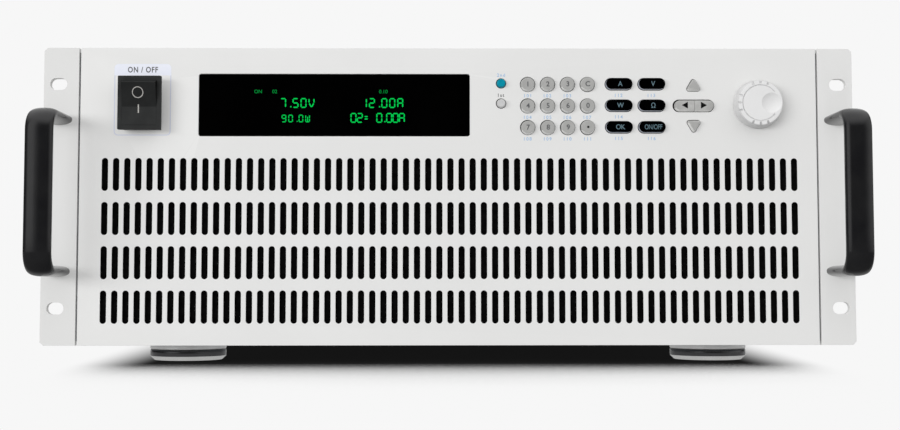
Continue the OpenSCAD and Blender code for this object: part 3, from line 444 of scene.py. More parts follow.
def phosphor(name, card):
    """Glowing display phosphor, a little uneven from grain to grain."""
    made = finish(name, card, card, 2, 0.35, 0.001, (0.5, 0.6), specular_ior_level=0.05)
    tree = made.node_tree
    place = node(tree, "TexCoord").outputs["Object"]
    grains = node(tree, "TexNoise", {"Vector": place, "Scale": 1 / (0.9 * MM), "Detail": 1.0})
    glow = node(tree, "MapRange", {0: grains, 1: 0.3, 2: 0.7, 3: 0.85, 4: 1.0})
    surface = tree.nodes["surface"].inputs
    surface["Emission Color"].default_value = linear(card)
    tree.links.new(glow.outputs[0], surface["Emission Strength"])
    unlit = surface["Base Color"].links[0].from_node.inputs
    unlit[6].default_value, unlit[7].default_value = (0.0, 0.01, 0.0, 1.0), (0.0, 0.02, 0.0, 1.0)
    return made


figure_glow, small_glow = phosphor("phosphor_green", "#00D455"), phosphor("phosphor_green_dim", "#00963E")
print("boards, window and inks ready")

# %% [markdown]
# ## Shapes
#
# Almost every small part here is a flat outline that is grown or shrunk while it moves out of the
# panel: a key cap is that, and so are a print or a lip. An outline is a list of arcs, and `loft`
# carries it through rings. `turned` spins a profile instead. `skin` does the joining for lofts,
# turned parts and swept bars alike, so all of them come out as one closed mesh.

# %% Shapes
def meshed(made):
    """Ends the work on a bmesh and keeps it as a mesh. Its piece names it."""
    mesh = bpy.data.meshes.new("mesh")
    made.to_mesh(mesh)
    made.free()
    return mesh


def skin(rings, capped=True):
    """A closed mesh through rings that all have the same number of points."""
    made = bmesh.new()
    rows = [[made.verts.new(p) for p in ring] for ring in rings]
    count = len(rows[0])
    for row, following in zip(rows, rows[1:]):
        for k in range(count):
            n = (k + 1) % count
            made.faces.new((row[k], row[n], following[n], following[k]))
    if capped:
        made.faces.new(rows[0][::-1])
        made.faces.new(rows[-1])
    bmesh.ops.remove_doubles(made, verts=made.verts, dist=1e-7)
    bmesh.ops.recalc_face_normals(made, faces=made.faces)
    return meshed(made)


def joined(parts):
    """One mesh made of several, which are used up."""
    made = bmesh.new()
    for part in parts:
        made.from_mesh(part)
        bpy.data.meshes.remove(part)
    return meshed(made)


def outline(*arcs, steps=12):
    """A flat outline of arcs (x, z, radius, from, to in degrees), as a function of how far it is grown."""
    def grown(by):
        points = []
        for x, z, radius, start, end in arcs:
            for k in range(steps + 1):
                turn = radians(start + (end - start) * k / steps)
                points.append((x + (radius + by) * cos(turn), z + (radius + by) * sin(turn)))
        return points
    return grown


def disc(radius):
    """A round outline."""
    return outline((0, 0, radius, 0, 360), steps=72)


def plate(width, height, corner, foot_corner=None):
    """A rectangle with round corners, and others at its foot if they differ."""
    low = corner if foot_corner is None else foot_corner
    w, h = width / 2, height / 2
    return outline((w - low, low - h, low, -90, 0), (w - corner, h - corner, corner, 0, 90),
                   (corner - w, h - corner, corner, 90, 180), (low - w, low - h, low, 180, 270))


def loft(shape, rings, at, capped=True):
    """Carries an outline through rings (how far grown, how far behind the panel's face) round a middle."""
    return skin([[on_panel(at[0] + x, y, at[1] + z) for x, z in shape(grow)] for grow, y in rings], capped)


def turned(profile, place, steps=96, capped=False):
    """Spins a profile (radius, height). `place` makes a point of two ways sideways and the height."""
    turns = [2 * pi * k / steps for k in range(steps)]
    return skin([[place(r * cos(t), r * sin(t), h) for t in turns] for r, h in profile], capped)


def piece(name, mesh, body, slot, *finishes, stands_for=(), crease=35):
    """A piece of the instrument: its mesh, what it rides on, its finishes and the nodes it stands for."""
    mesh.name = name
    for each in finishes:
        mesh.materials.append(each)
    mesh.shade_smooth()
    mesh.set_sharp_from_angle(angle=radians(crease))
    made = placed(name, mesh)
    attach(made, body)
    if stands_for:
        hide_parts(*stands_for)
    return made


print("shape helpers ready")

# %% [markdown]
# ## Softened edges
#
# A CAD edge is a perfect line, and nothing shines on it. Punched and painted sheet, or moulded
# plastic, always has a small round on its edges, and that thin bright line is what makes it look
# real. The mesh of a CAD node stays as it is, so this function makes a new piece from its faces,
# joins them, rounds every sharp edge and lets the new piece stand for the node. Large faces must go
# on shading flat beside their rounds, which is what the weighted normals are for.

# %% Softened edges
def softened(name, body, slot, material, radius, tidy=True):
    """A piece with the shape of a CAD node and its sharp edges rounded by so many millimetres."""
    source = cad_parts[name].data
    made = bmesh.new()
    verts = [made.verts.new(v.co) for v in source.vertices]
    for face in source.polygons:
        made.faces.new([verts[i] for i in face.vertices])
    bmesh.ops.remove_doubles(made, verts=made.verts, dist=1e-6)
    if tidy:
        bmesh.ops.dissolve_limit(made, angle_limit=radians(0.5), verts=made.verts, edges=made.edges)
    sharp = [e for e in made.edges if e.calc_face_angle(0) > radians(35)]
    bmesh.ops.bevel(made, geom=sharp, offset=radius * MM, segments=2, profile=0.5, affect="EDGES",
                    clamp_overlap=True)
    made = piece(name + "_soft", meshed(made), body, slot, material, stands_for=[name], crease=50)
    flat = made.modifiers.new("flat_faces_stay_flat", "WEIGHTED_NORMAL")
    flat.keep_sharp, flat.weight = True, 100
    return made


SLOTS_REACH, SLOTS_LOW, SLOTS_HIGH, FACE_ROUND = 215, 2, 112, 0.25
sheet = softened("front_panel", "case", "panel_paint", panel_paint, 0.15, tidy=False)
# The walls inside the vent slots take the painted shade
sheet.data.materials.append(slot_wall_painted_shade)
for face in sheet.data.polygons:
    x, y, z = from_panel(face.center)
    in_slots = abs(x) < SLOTS_REACH and SLOTS_LOW < z < SLOTS_HIGH
    face.material_index = int(in_slots and y > FACE_ROUND and abs(face.normal.y) < 0.5)
for name, slot, material, radius in (
        ("left_rack_ear", "ear_paint", ear_paint, 0.25), ("right_rack_ear", "ear_paint", ear_paint, 0.25),
        ("chassis_tray", "zinc_sheet", zinc, 0.4), ("top_cover", "zinc_sheet", zinc, 0.4),
        ("rear_panel", "zinc_sheet", zinc, 0.3), ("switch_housing", "switch_black", switch_nylon, 0.15),
        ("terminal_block", "terminal_black", terminal_plastic, 0.6),
        ("mains_inlet", "terminal_black", terminal_plastic, 0.4),
        ("display_window", "window_acrylic", acrylic, 0.2)):
    made = softened(name, "case", slot, material, radius)
    # The panel stays pale beside the switch, so its housing doesn't hold back the room's soft light
    made.visible_diffuse = name != "switch_housing"

# %% [markdown]
# ## Handles
#
# Each handle is one bar of oval section, bent forward from the ear, down and back again. It is swept:
# the oval is carried along the bar's middle line, always square to it. An oval with slightly full
# sides, drawn by the superellipse formula, gives the smooth shading from edge to edge that the
# photograph shows. The ears beside the handles stay pale there, so the handles don't hold back the
# room's soft light. They still hold back the lamps.

# %% Handles
BAR_WIDTH, BAR_DEPTH, FULLNESS, BEND = 16.0, 6.5, 2.3, 10.5
LEG = (0.0, -3.0, -12.0)


def oval(turn):
    """A point on the bar's section: across the panel, and outwards from the bend."""
    return [copysign(abs(v) ** (2 / FULLNESS), v) * size / 2
            for v, size in ((cos(turn), BAR_WIDTH), (sin(turn), BAR_DEPTH))]


def handle(name):
    """Sweeps a handle between the two legs of its CAD node."""
    low, high = corners(name)
    across = middle(name)[0]
    top, foot, front = high[2] - BAR_DEPTH / 2, low[2] + BAR_DEPTH / 2, low[1] + BAR_DEPTH / 2
    bends = [[(front + BEND + BEND * cos(radians(a)), centre + BEND * sin(radians(a)), a)
              for a in range(start, start + 91, 6)]
             for centre, start in ((top - BEND, 90), (foot + BEND, 180))]
    grip = [(front, foot + BEND + (top - foot - 2 * BEND) * k / 6, 180.0) for k in range(5, 0, -1)]
    way = [(y, top, 90.0) for y in LEG] + bends[0] + grip + bends[1] + [(y, foot, 270.0) for y in LEG[::-1]]
    section = [oval(2 * pi * k / 64) for k in range(64)]
    rings = []
    for y, z, turn in way:
        out_y, out_z = cos(radians(turn)), sin(radians(turn))
        rings.append([on_panel(across + u, y + v * out_y, z + v * out_z) for u, v in section])
    return piece(name + "_bar", skin(rings), "case", "black_anodised", black_coat, stands_for=[name])


for side in ("left", "right"):
    bar = handle(side + "_handle")
    bar.visible_diffuse = False
    print(bar.name, "size", tuple(round(v, 4) for v in bar.dimensions))

# %% [markdown]
# ## Feet
#
# A foot is a turned and plated ring: a pale band under the case, a dark glossy band, and a pale
# chamfer at the bottom. It is drawn as half a profile from the inside out, and spun round the screw.
# The bands get their own finish by height.

# %% Feet
FOOT_RADIUS, BAND_TOP, BAND_FOOT = 23.5, -3.7, -7.9
# How far the outside stands back, and at which height, from the top down
bands = [(0.4, 2.4), (0.0, 2.0), (0.0, -3.3), (0.3, -3.6), (0.5, -3.8), (0.5, -4.1), (0.2, -4.3),
         (0.05, -4.6), (0.05, -7.5), (0.25, -7.8), (0.25, -7.95), (0.05, -8.1), (0.4, -8.5), (2.3, -10.3),
         (2.7, -10.6)]
# From the middle of the top, round the outside, to the recess for the rubber pad
profile = ([(2.3, 2.4)] + [(FOOT_RADIUS - inset, height) for inset, height in bands]
           + [(18.3, -10.6), (18.3, -9.1), (4.5, -9.1), (4.5, -8.0), (2.3, -8.0), (2.3, 2.4)])
low, high = corners("feet")
foot_x, foot_y = high[0] - FOOT_RADIUS, (low[1] + FOOT_RADIUS, high[1] - FOOT_RADIUS)
for i, (x, y) in enumerate([(side * foot_x, y) for side in (-1, 1) for y in foot_y], 1):
    mesh = turned(profile, lambda u, v, height: on_panel(x + u, y + v, height))
    foot = piece(f"foot_{i}", mesh, "case", "foot_plating", foot_pale, foot_dark, foot_rim,
                 stands_for=["feet"])
    for face in foot.data.polygons:
        height = from_panel(face.center)[2]
        face.material_index = 0 if height > BAND_TOP else 1 if height > BAND_FOOT else 2
print("feet at", round(foot_x, 1), [round(y, 1) for y in foot_y])

# %% [markdown]
# ## Marks
#
# Marks are a few hundredths of a millimetre of ink. Words and figures come from Blender's own font,
# turned into a mesh that stands just proud of what it is printed on. They are kept generic: figures,
# units, and ON and OFF.

# %% Marks
INK = 0.03
# The height of a capital in Blender's font, as a share of the font's size
CAPITAL = 0.69


def mark(name, text, height, at, face_y, body, slot, ink, spacing=1.0, squeeze=1.0, weight=0.0):
    """Printed letters of so many millimetres round a middle, on a face so far behind the panel's own."""
    curve = bpy.data.curves.new(name, "FONT")
    curve.body, curve.size = text, height / CAPITAL
    curve.align_x, curve.align_y = "CENTER", "CENTER"
    curve.space_character, curve.offset, curve.extrude = spacing, weight, INK / 2
    drawn = placed(name, curve)
    bpy.context.view_layer.update()
    mesh = bpy.data.meshes.new_from_object(drawn.evaluated_get(bpy.context.evaluated_depsgraph_get()))
    bpy.data.objects.remove(drawn)
    spans = [[v.co[axis] for v in mesh.vertices] for axis in (0, 1)]
    centred = Matrix.Translation([-(max(span) + min(span)) / 2 for span in spans] + [0])
    mesh.transform(Matrix.Translation(on_panel(at[0], face_y - INK / 2, at[1])) @ Matrix.Scale(MM, 4)
                   @ Matrix.Rotation(radians(90), 4, "X") @ Matrix.Diagonal((squeeze, 1, 1, 1)) @ centred)
    return piece(name, mesh, body, slot, ink)


def ring_print(name, shape, width, at, face_y, body, slot, ink):
    """An outline printed as a line of so many millimetres inside its edge."""
    rings = [(0, face_y), (0, face_y - INK), (-width, face_y - INK), (-width, face_y), (0, face_y)]
    return piece(name, loft(shape, rings, at, capped=False), body, slot, ink)


print("ink stands out", INK, "mm")

# %% [markdown]
# ## Power switch
#
# The rocker is at rest with its lower part pressed in: the instrument is on, as its display shows.
# The upper part leans out of its frame, and the crease between the two is softly rounded. The ring for
# off and the bar for on are printed a little left of the middle, and each print lies down on the face
# below it. A thin lip inside the opening hides the gap round the rocker, as on the real one. The
# printed frame round the switch has a filled band at the top for its words.

# %% Power switch
TRAVEL, ROCKER_FACE, FILLET, CREASE_DROP, SHADE_TOP = radians(14), -9.0, 1.4, 2.5, 13
switch_x, switch_z = middle("switch_housing")
mark_x = switch_x - 0.45
crease = on_panel(switch_x, ROCKER_FACE, switch_z - CREASE_DROP)
rocker = softened("power_rocker", "rocker", "rocker_black", rocker_nylon, 0.12)
shaped = bmesh.new()
shaped.from_mesh(rocker.data)
edges = [e for e in shaped.edges if all((v.co - crease).yz.length < 0.2 * MM for v in e.verts)]
bmesh.ops.bevel(shaped, geom=[e for e in edges if e.calc_length() > 5 * MM], offset=FILLET * MM, segments=6,
                profile=0.5, affect="EDGES", clamp_overlap=False)
shaped.to_mesh(rocker.data)
shaped.free()
# The rocker's sides take the near-black painted gap shade, and its upper part and the band round the crease
# take the darker copy, as painted shade
for each in (gap_painted_shade, rocker_painted_shade):
    rocker.data.materials.append(each)
for face in rocker.data.polygons:
    above = (face.center.z - crease.z) / MM
    upper = above > SHADE_TOP or above > -2 and face.normal.z < -0.12
    face.material_index = 1 if abs(face.normal.x) > 0.95 else 2 if upper else 0
# Once round the lip's section: how wide and high it is there, and how far back
lip = [[on_panel(switch_x + x, y, switch_z + z) for x, z in plate(width, height, 0.02)(0)]
       for width, height, y in ((20.7, 28.3, -8.9), (20.24, 26.6, -8.9), (20.24, 26.96, -8.2),
                                (20.7, 28.3, -8.2), (20.7, 28.3, -8.9))]
piece("switch_opening_lip", skin(lip, capped=False), "case", "switch_black", switch_nylon)


def draped(made):
    """Lays a print down on the rocker, which curves out of its lower part into its upper one."""
    bent = bmesh.new()
    bent.from_mesh(made.data)
    for step in (-1.0, -0.5, 0.0, 0.5, 1.0):
        bmesh.ops.bisect_plane(bent, geom=bent.verts[:] + bent.edges[:] + bent.faces[:],
                               plane_co=crease + Vector((0, 0, step * FILLET * MM)), plane_no=(0, 0, 1))
    for corner in bent.verts:
        above = (corner.co.z - crease.z) / MM
        rise = above if above > FILLET else max(0.0, above + FILLET) ** 2 / (4 * FILLET)
        corner.co.y -= rise * MM * tan(TRAVEL)
    bent.to_mesh(made.data)
    bent.free()


draped(ring_print("off_ring", disc(3.3), 0.45, (mark_x, switch_z + 5.75), ROCKER_FACE, "rocker",
                  "rocker_black", mark_white))
draped(piece("on_bar", loft(plate(0.7, 5.0, 0.1), [(0, ROCKER_FACE), (0, ROCKER_FACE - 2 * INK)],
                            (mark_x + 0.1, switch_z - 3.7)), "rocker", "rocker_black", mark_white))

LABEL_X, LABEL_Z, LABEL_W, LABEL_H, LABEL_ROUND = -182.6, 145.85, 33.8, 42.9, 2.5
BAND, BAND_INK = 6.9, -1.2 * INK
ring_print("switch_frame_line", plate(LABEL_W, LABEL_H, LABEL_ROUND), 0.6, (LABEL_X, LABEL_Z), 0.0, "case",
           "panel_paint", frame_ink)
band_z = LABEL_Z + LABEL_H / 2 - BAND / 2
piece("switch_band", loft(plate(LABEL_W - 0.1, BAND, LABEL_ROUND, 0.05), [(0, 0.0), (0, BAND_INK)],
                          (LABEL_X, band_z)), "case", "panel_paint", band_ink)
mark("switch_words", "ON / OFF", 3.2, (LABEL_X, band_z), BAND_INK, "case", "panel_paint", mark_dark,
     spacing=1.18, squeeze=0.8, weight=0.1)
print("switch at", round(switch_x, 2), round(switch_z, 2))

# %% [markdown]
# ## Figures on the display
#
# Each figure is a set of short bars with pointed ends, as in a real fluorescent display. A letter
# stands on a grid one wide and two high, and each bar joins two of its points, a little short of
# them, so that dark gaps show between bars.

# %% Figures on the display
BARS = {
    "a": ((0, 2), (1, 2)), "b": ((1, 2), (1, 1)), "c": ((1, 1), (1, 0)), "d": ((0, 0), (1, 0)),
    "e": ((0, 1), (0, 0)), "f": ((0, 2), (0, 1)), "g": ((0, 1), (1, 1)),
    "m": ((0.5, 1.6), (0.5, 0)), "v": ((0, 1), (0.5, 0)), "w": ((0.5, 0), (1, 1)),
    "x": ((0.1, 1.3), (0.9, 1.3)), "y": ((0.1, 0.75), (0.9, 0.75)),
}
GLYPHS = {"0": "abcdef", "1": "bc", "2": "abged", "5": "afgcd", "7": "abc", "9": "abcdfg", "A": "abcefg",
          "V": "fbvw", "W": "febcdm", "=": "xy"}
# The width of a figure and half the thickness of a bar, as shares of its height. Then the step on
# each side of a point, as a share of the pitch, and the gap at a bar's end, of half its thickness
FIGURE_WIDE, HALF_BAR, POINT_STEP, BAR_GAP = 0.56, 0.07, 0.28, 0.35
window_y = corners("display_window")[0][1]


def short_bar(start, end, half, trim):
    """The six corners of a bar with pointed ends."""
    a, b = Vector(start), Vector(end)
    along = (b - a).normalized()
    side = Vector((-along.y, along.x)) * half
    a, b = a + along * trim, b - along * trim
    inner_a, inner_b = a + along * half, b - along * half
    return [a, inner_a - side, inner_b - side, b, inner_b + side, inner_a + side]


def figures(name, text, left, base, size, pitch):
    """A row of figures: where it starts, its base line, and the height and pitch of a figure."""
    x, bars = left, []
    wide, high, half = size * FIGURE_WIDE, size / 2, size * HALF_BAR
    for letter in text:
        outlines = []
        if letter == ".":
            x += pitch * POINT_STEP
            outlines.append([Vector((u * half, v * half)) for u, v in ((-1, 0), (1, 0), (1, 2), (-1, 2))])
        for bar in GLYPHS.get(letter, ""):
            start, end = (Vector((p[0] * wide, p[1] * high)) for p in BARS[bar])
            outlines.append(short_bar(start, end, half, half * BAR_GAP))
        for points in outlines:
            bars.append(skin([[on_panel(x + p.x, y, base + p.y) for p in points]
                              for y in (window_y - INK, window_y - 0.002)]))
        x += pitch * (POINT_STEP if letter == "." else 1.0)
    return piece(name, joined(bars), "case", "window_acrylic", figure_glow)


readings = {"volts": ("7.50V", -100.6, 141.5, 5.2, 4.75), "amps": ("12.00A", -52.4, 141.5, 5.2, 4.75),
            "watts": ("90.0W", -99.7, 132.8, 4.0, 3.95), "set": ("02=", -58.6, 132.6, 5.2, 3.77),
            "set_value": ("0.00A", -43.2, 132.6, 5.2, 3.77)}
for name, reading in readings.items():
    figures("figures_" + name, *reading)

# %% [markdown]
# ## Small marks on the display
#
# The small signs above the readings are plain letters of the same phosphor, lit more weakly.

# %% Small marks on the display
SIGN_SIZE, SIGN_Z = 2.1, 151.0
for name, text, x in (("on", "ON", -114.1), ("range", "02", -104.2), ("step", "0.10", -39.4)):
    mark("sign_" + name, text, SIGN_SIZE, (x, SIGN_Z), window_y, "case", "window_acrylic", small_glow)
print("signs in the window's face at", round(window_y, 2), "mm")

# %% [markdown]
# ## Keys
#
# A key cap is an outline lofted out of the panel. Its side leans in a little, so that it leaves its
# mould, and the front edge is rounded. Behind the panel it has a wider skirt that keeps it in, and
# the skirt is near-black: painted shade for the gap round the cap. The round keys have a slightly
# hollow face for the finger. The lower rim of all the grey ones is a paler copy of their grey: a
# painted highlight. The long keys are pale bodies with a black face. A cap has play in its hole, and
# the board behind the round keys is a touch out of square, so those don't all hang alike. Each cap
# rides on its own body, because each one travels by itself, and its mark rides with it. The panel
# stays pale between the caps, so they don't hold back the room's soft light, only the lamps'.

# %% Keys
KEY_FRONT, SKIRT_OUT, SKIRT_FRONT, SKIRT_BACK, KEY_FIGURE = -3.0, 0.95, 2.8, 3.8, 2.9
# How deep the round keys' faces are hollow, and how deep their figures lie in them
FINGER_HOLLOW, FIGURE_DEEP = 0.1, 0.08
# How far a grey cap hangs to the right of and above the middle of its hole, and how far the number
# keys' board is turned round its own middle
HANG, SKEW = (0.04, -0.08), radians(0.3)
round_keys = [f"key_{k}" for k in range(10)] + ["escape_key", "point_key"]
board_x, board_z = (sum(middle(name)[axis] for name in round_keys) / len(round_keys) for axis in (0, 1))


def hung(name):
    """The middle of a grey cap, where it hangs in its hole."""
    x, z = middle(name)
    if name in round_keys:
        x, z = x - SKEW * (z - board_z), z + SKEW * (x - board_x)
    return x + HANG[0], z + HANG[1]


def key_cap(name, shape, slot, *finishes, edge=0.3, lean=0.35, flare=0.06, hollow=0.0, reach=None, at=None,
            edge_wear_and_rim_highlight=False):
    """A key: skirt, leaning side, rounded edge and a face that is hollow by so many millimetres."""
    rings = [(SKIRT_OUT, SKIRT_BACK), (SKIRT_OUT, SKIRT_FRONT), (flare, SKIRT_FRONT), (flare, 0.0)]
    for k in range(5):
        turn = radians(90 * k / 4)
        rings.append((-lean + edge * (cos(turn) - 1), KEY_FRONT + edge * (1 - sin(turn))))
    if hollow:
        start = rings[-1][0]
        rings += [(start - (reach + start) * (1 - t), KEY_FRONT + hollow * (1 - t * t))
                  for t in (0.75, 0.5, 0.25, 0.02)]
    cap = piece(name + "_cap", loft(shape, rings, at or hung(name)), name, slot, *finishes, gap_painted_shade,
                stands_for=[name], crease=40)
    cap.visible_diffuse = False
    for face in cap.data.polygons:
        behind = from_panel(face.center)[1]
        # Behind the panel the skirt takes the near-black painted gap shade. On grey keys the faces that
        # look downward take the paler copy, a painted highlight; on the long keys the face takes the black
        if behind > 0:
            face.material_index = len(finishes)
        elif len(finishes) == 2 and (face.normal.z < -0.4 if edge_wear_and_rim_highlight else behind < KEY_FRONT + edge - 0.02):
            face.material_index = 1
    return cap


def round_key(name, slot, *materials, flare=0.06):
    """A round key with the size of its CAD node."""
    low, high = corners(name)
    radius = (high[0] - low[0]) / 2 - SKIRT_OUT
    return key_cap(name, disc(radius), slot, *materials, flare=flare, hollow=FINGER_HOLLOW, reach=radius,
                   edge_wear_and_rim_highlight=True)


for name in round_keys:
    round_key(name, "grey_key", grey_abs, rim_highlight_abs)
    if name != "point_key":
        text = "C" if name == "escape_key" else name[-1]
        mark(name + "_mark", text, KEY_FIGURE, hung(name), KEY_FRONT + FIGURE_DEEP, name, "grey_key",
             mark_dark, weight=0.09)
piece("point_key_mark", loft(disc(0.7), [(0, KEY_FRONT + FINGER_HOLLOW), (0, KEY_FRONT + 0.06)],
                             hung("point_key")), "point_key", "grey_key", mark_black)
round_key("shift_key", "teal_key", teal_abs, flare=0.0)
round_key("local_key", "white_key", white_abs, flare=0.0)
print("round keys", len(round_keys) + 2)

# %% [markdown]
# ## Long keys
#
# The long keys are bars with round ends. Their marks stand a little right of the middle, and the
# longest word is squeezed to fit.

# %% Long keys
def stadium(length, width):
    """A bar outline with round ends."""
    flat = (length - width) / 2
    return outline((flat, 0, width / 2, -90, 90), (-flat, 0, width / 2, 90, 270), steps=24)


WORD_SHIFT = (0.6, -0.1)
words = {"amps_key": "A", "volts_key": "V", "watts_key": "W", "ohms_key": "Ω", "enter_key": "OK",
         "input_key": "ON/OFF"}
for name, text in words.items():
    low, high = corners(name)
    shape = stadium(high[0] - low[0] - 2 * SKIRT_OUT, high[2] - low[2] - 2 * SKIRT_OUT)
    x, z = middle(name)
    key_cap(name, shape, "black_key", rim_abs, black_abs, edge=0.25, lean=0.1, flare=0.0, at=(x, z))
    squeeze, weight = (0.72, 0.0) if len(text) > 2 else (0.9, 0.03)
    mark(name + "_mark", text, KEY_FIGURE, (x + WORD_SHIFT[0], z + WORD_SHIFT[1]), KEY_FRONT, name,
         "black_key", mark_pale, spacing=0.95, squeeze=squeeze, weight=weight)
print("long keys", len(words))

# %% [markdown]
# ## Arrow keys
#
# The up and down keys are triangles with round corners. The side keys are the two halves of one bar,
# round outside and square where they meet, each with an arrow tip printed on it.

# %% Arrow keys
ARROW_W, ARROW_H, ARROW_R = 9.25, 8.0, 1.15
SIDE_BAR, SIDE_SHIFT, TIP, TIP_AT = (23.6, 6.8), (0.1, -0.14), (1.8, 2.05), 5.7
steepness = atan2(ARROW_W / 2, ARROW_H)


def triangle(turn):
    """A triangle with round corners that points up, or down when turned by 180 degrees."""
    lean = degrees(steepness)
    top = ARROW_H / 2 - ARROW_R / sin(steepness)
    foot = ARROW_R - ARROW_H / 2
    half = (top - foot) * tan(steepness)
    arcs = [(0, top, lean, 180 - lean), (-half, foot, 180 - lean, 270), (half, foot, 270, 360 + lean)]
    c, s = cos(radians(turn)), sin(radians(turn))
    return outline(*[(x * c - z * s, x * s + z * c, ARROW_R, a + turn, b + turn) for x, z, a, b in arcs])


def half_bar(side, length, width, split=0.16):
    """One of the two side keys, which leave a narrow split between them."""
    end = outline((length / 2 - width / 2, 0, width / 2, -90, 90), steps=24)

    def grown(by):
        half = width / 2 + by
        return [(side * x, z) for x, z in end(by) + [(split, half), (split, -half)]]
    return grown


# The sharp triangle's middle lies this far from the middle of its rounded outline
offset = ARROW_R / sin(steepness) / 2 - ARROW_R / 2
arrow_x = middle("up_key")[0]
for name, turn in (("up_key", 0), ("down_key", 180)):
    x, z = hung(name)
    key_cap(name, triangle(turn), "grey_key", grey_abs, rim_highlight_abs, edge_wear_and_rim_highlight=True,
            at=(x - 0.1, z + offset * cos(radians(turn))))
for name, side in (("left_key", -1), ("right_key", 1)):
    z = middle(name)[1]
    key_cap(name, half_bar(side, *SIDE_BAR), "grey_key", grey_abs, rim_highlight_abs, edge_wear_and_rim_highlight=True, lean=0.5,
            flare=0.0, at=(arrow_x + SIDE_SHIFT[0], z + SIDE_SHIFT[1]))
    tip = [(side * TIP[0], 0), (-side * TIP[0], TIP[1]), (-side * TIP[0], -TIP[1])][::side]
    rings = [[on_panel(arrow_x + side * TIP_AT + across, y, z + up) for across, up in tip]
             for y in (KEY_FRONT, KEY_FRONT - INK)]
    piece(name + "_mark", skin(rings), name, "grey_key", mark_black)
print("arrow keys round x =", round(arrow_x, 1))

# %% [markdown]
# ## Small blue marks under the keys
#
# Each key has a second use, printed in pale blue under it. Plain numbers stand there.

# %% Small blue marks under the keys
PRINT_SIZE, PRINT_WEIGHT = 1.9, 0.055
# How far a print stands under a round key, under a long one, and over a small one
UNDER, UNDER_LONG, OVER = 6.8, 6.7, 5.0
printed = "key_1 key_2 key_3 key_4 key_5 key_6 key_0 key_7 key_8 key_9 point_key".split() + list(words)
printed.remove("ohms_key")
for count, name in enumerate(printed, 1):
    x, z = middle(name)
    drop = UNDER_LONG if name in words else UNDER
    mark(f"print_{count}", str(100 + count), PRINT_SIZE, (x, z - drop), 0.0, "case", "panel_paint",
         mark_blue, spacing=1.35, weight=PRINT_WEIGHT)
for name, text, ink in (("shift_key", "2nd", mark_blue), ("local_key", "1st", mark_dark)):
    x, z = middle(name)
    mark(name + "_print", text, PRINT_SIZE, (x, z + OVER), 0.0, "case", "panel_paint", ink, spacing=1.3,
         weight=PRINT_WEIGHT)
print("prints under the keys", count)

# %% [markdown]
# ## The knob
#
# The knob is turned from its side profile, with a soft edge round its face. Then three things are cut
# out of it: a round hollow for a finger, a thin groove that is open towards the hollow, and nine
# short notches that run out over the rim. Each cut is a boolean, so its edges are crisp, and its tool
# is removed afterwards.

# %% The knob
KNOB_BASE, KNOB_FACE, KNOB_FRONT, KNOB_BACK, KNOB_EDGE = 14.4, 13.5, -8.7, -0.6, 0.9
RECESS_RADIUS, RECESS_FLOOR = 8.0, -3.6
KNOB_CREASE = 32
knob_x, knob_z = middle("adjust_knob")


def spun(profile, start=0.0, sweep=360.0, steps=180):
    """Spins a profile (radius, depth) round the knob's axis, all the way or through a part of it."""
    whole = sweep >= 360.0
    turns = [radians(start + sweep * k / steps) for k in range(steps + (0 if whole else 1))]
    rings = [[on_panel(knob_x + r * cos(t), y, knob_z + r * sin(t)) for r, y in profile] for t in turns]
    return skin(rings + rings[:1] if whole else rings, capped=not whole)


lean = atan2(KNOB_BASE - KNOB_FACE, KNOB_BACK - KNOB_FRONT)
turns = [lean + (pi / 2 - lean) * k / 8 for k in range(9)]
edge = [(KNOB_FACE - KNOB_EDGE + KNOB_EDGE * cos(turn), KNOB_FRONT + KNOB_EDGE - KNOB_EDGE * sin(turn))
        for turn in turns]
profile = [(RECESS_RADIUS, RECESS_FLOOR), (RECESS_RADIUS, KNOB_BACK), (KNOB_BASE - 0.3, KNOB_BACK),
           (KNOB_BASE, KNOB_BACK - 0.3)] + edge + [(0.0, KNOB_FRONT), (0.0, RECESS_FLOOR)]
knob = piece("adjust_knob_turned", spun(profile), "knob", "knob_white", knob_abs,
             stands_for=["adjust_knob"], crease=KNOB_CREASE)
# The knob's side takes the darker copy: painted shade
knob.data.materials.append(knob_grip_painted_shade)
for face in knob.data.polygons:
    face.material_index = int(abs(face.normal.y) < 0.93)

HOLLOW, HOLLOW_DEPTH, HOLLOW_OUT = 6.0, 1.9, 6.6
# A notch: its length and width, how far out its middle lies, and how much its bottom falls outwards
NOTCH, NOTCH_OUT, NOTCH_FALL = (4.4, 1.35), 13.4, 0.65
ball = (HOLLOW ** 2 + HOLLOW_DEPTH ** 2) / (2 * HOLLOW_DEPTH)
profile = [(ball * sin(pi * k / 40), KNOB_FRONT + HOLLOW_DEPTH - ball + ball * cos(pi * k / 40))
           for k in range(1, 40)]
cutters = [(knob_abs, turned(profile, lambda u, v, y: on_panel(knob_x + HOLLOW_OUT + u, y, knob_z + v),
                             capped=True))]
groove = [(r, KNOB_FRONT + y) for r, y in ((10.3, -0.5), (10.9, -0.5), (10.9, 0.75), (10.3, 0.75))]
cutters.append((knob_abs, spun(groove, start=38, sweep=284, steps=120)))
# The notches' walls take the darker copy too: painted shade
for group in (90, 180, 270):
    for step in (-21, 0, 21):
        turn = radians(group + step)
        along, side = Vector((cos(turn), 0, sin(turn))), Vector((-sin(turn), 0, cos(turn)))
        notch = [[on_panel(knob_x, 0, knob_z)
                  + (along * (NOTCH_OUT + v) + side * u
                     + Vector((0, floor_y + fall * (v + NOTCH[0] / 2), 0))) * MM
                  for v, u in stadium(*NOTCH)(0)]
                 for floor_y, fall in ((KNOB_FRONT - 0.5, 0.0), (KNOB_FRONT + 0.3, NOTCH_FALL))]
        cutters.append((knob_grip_painted_shade, skin(notch)))

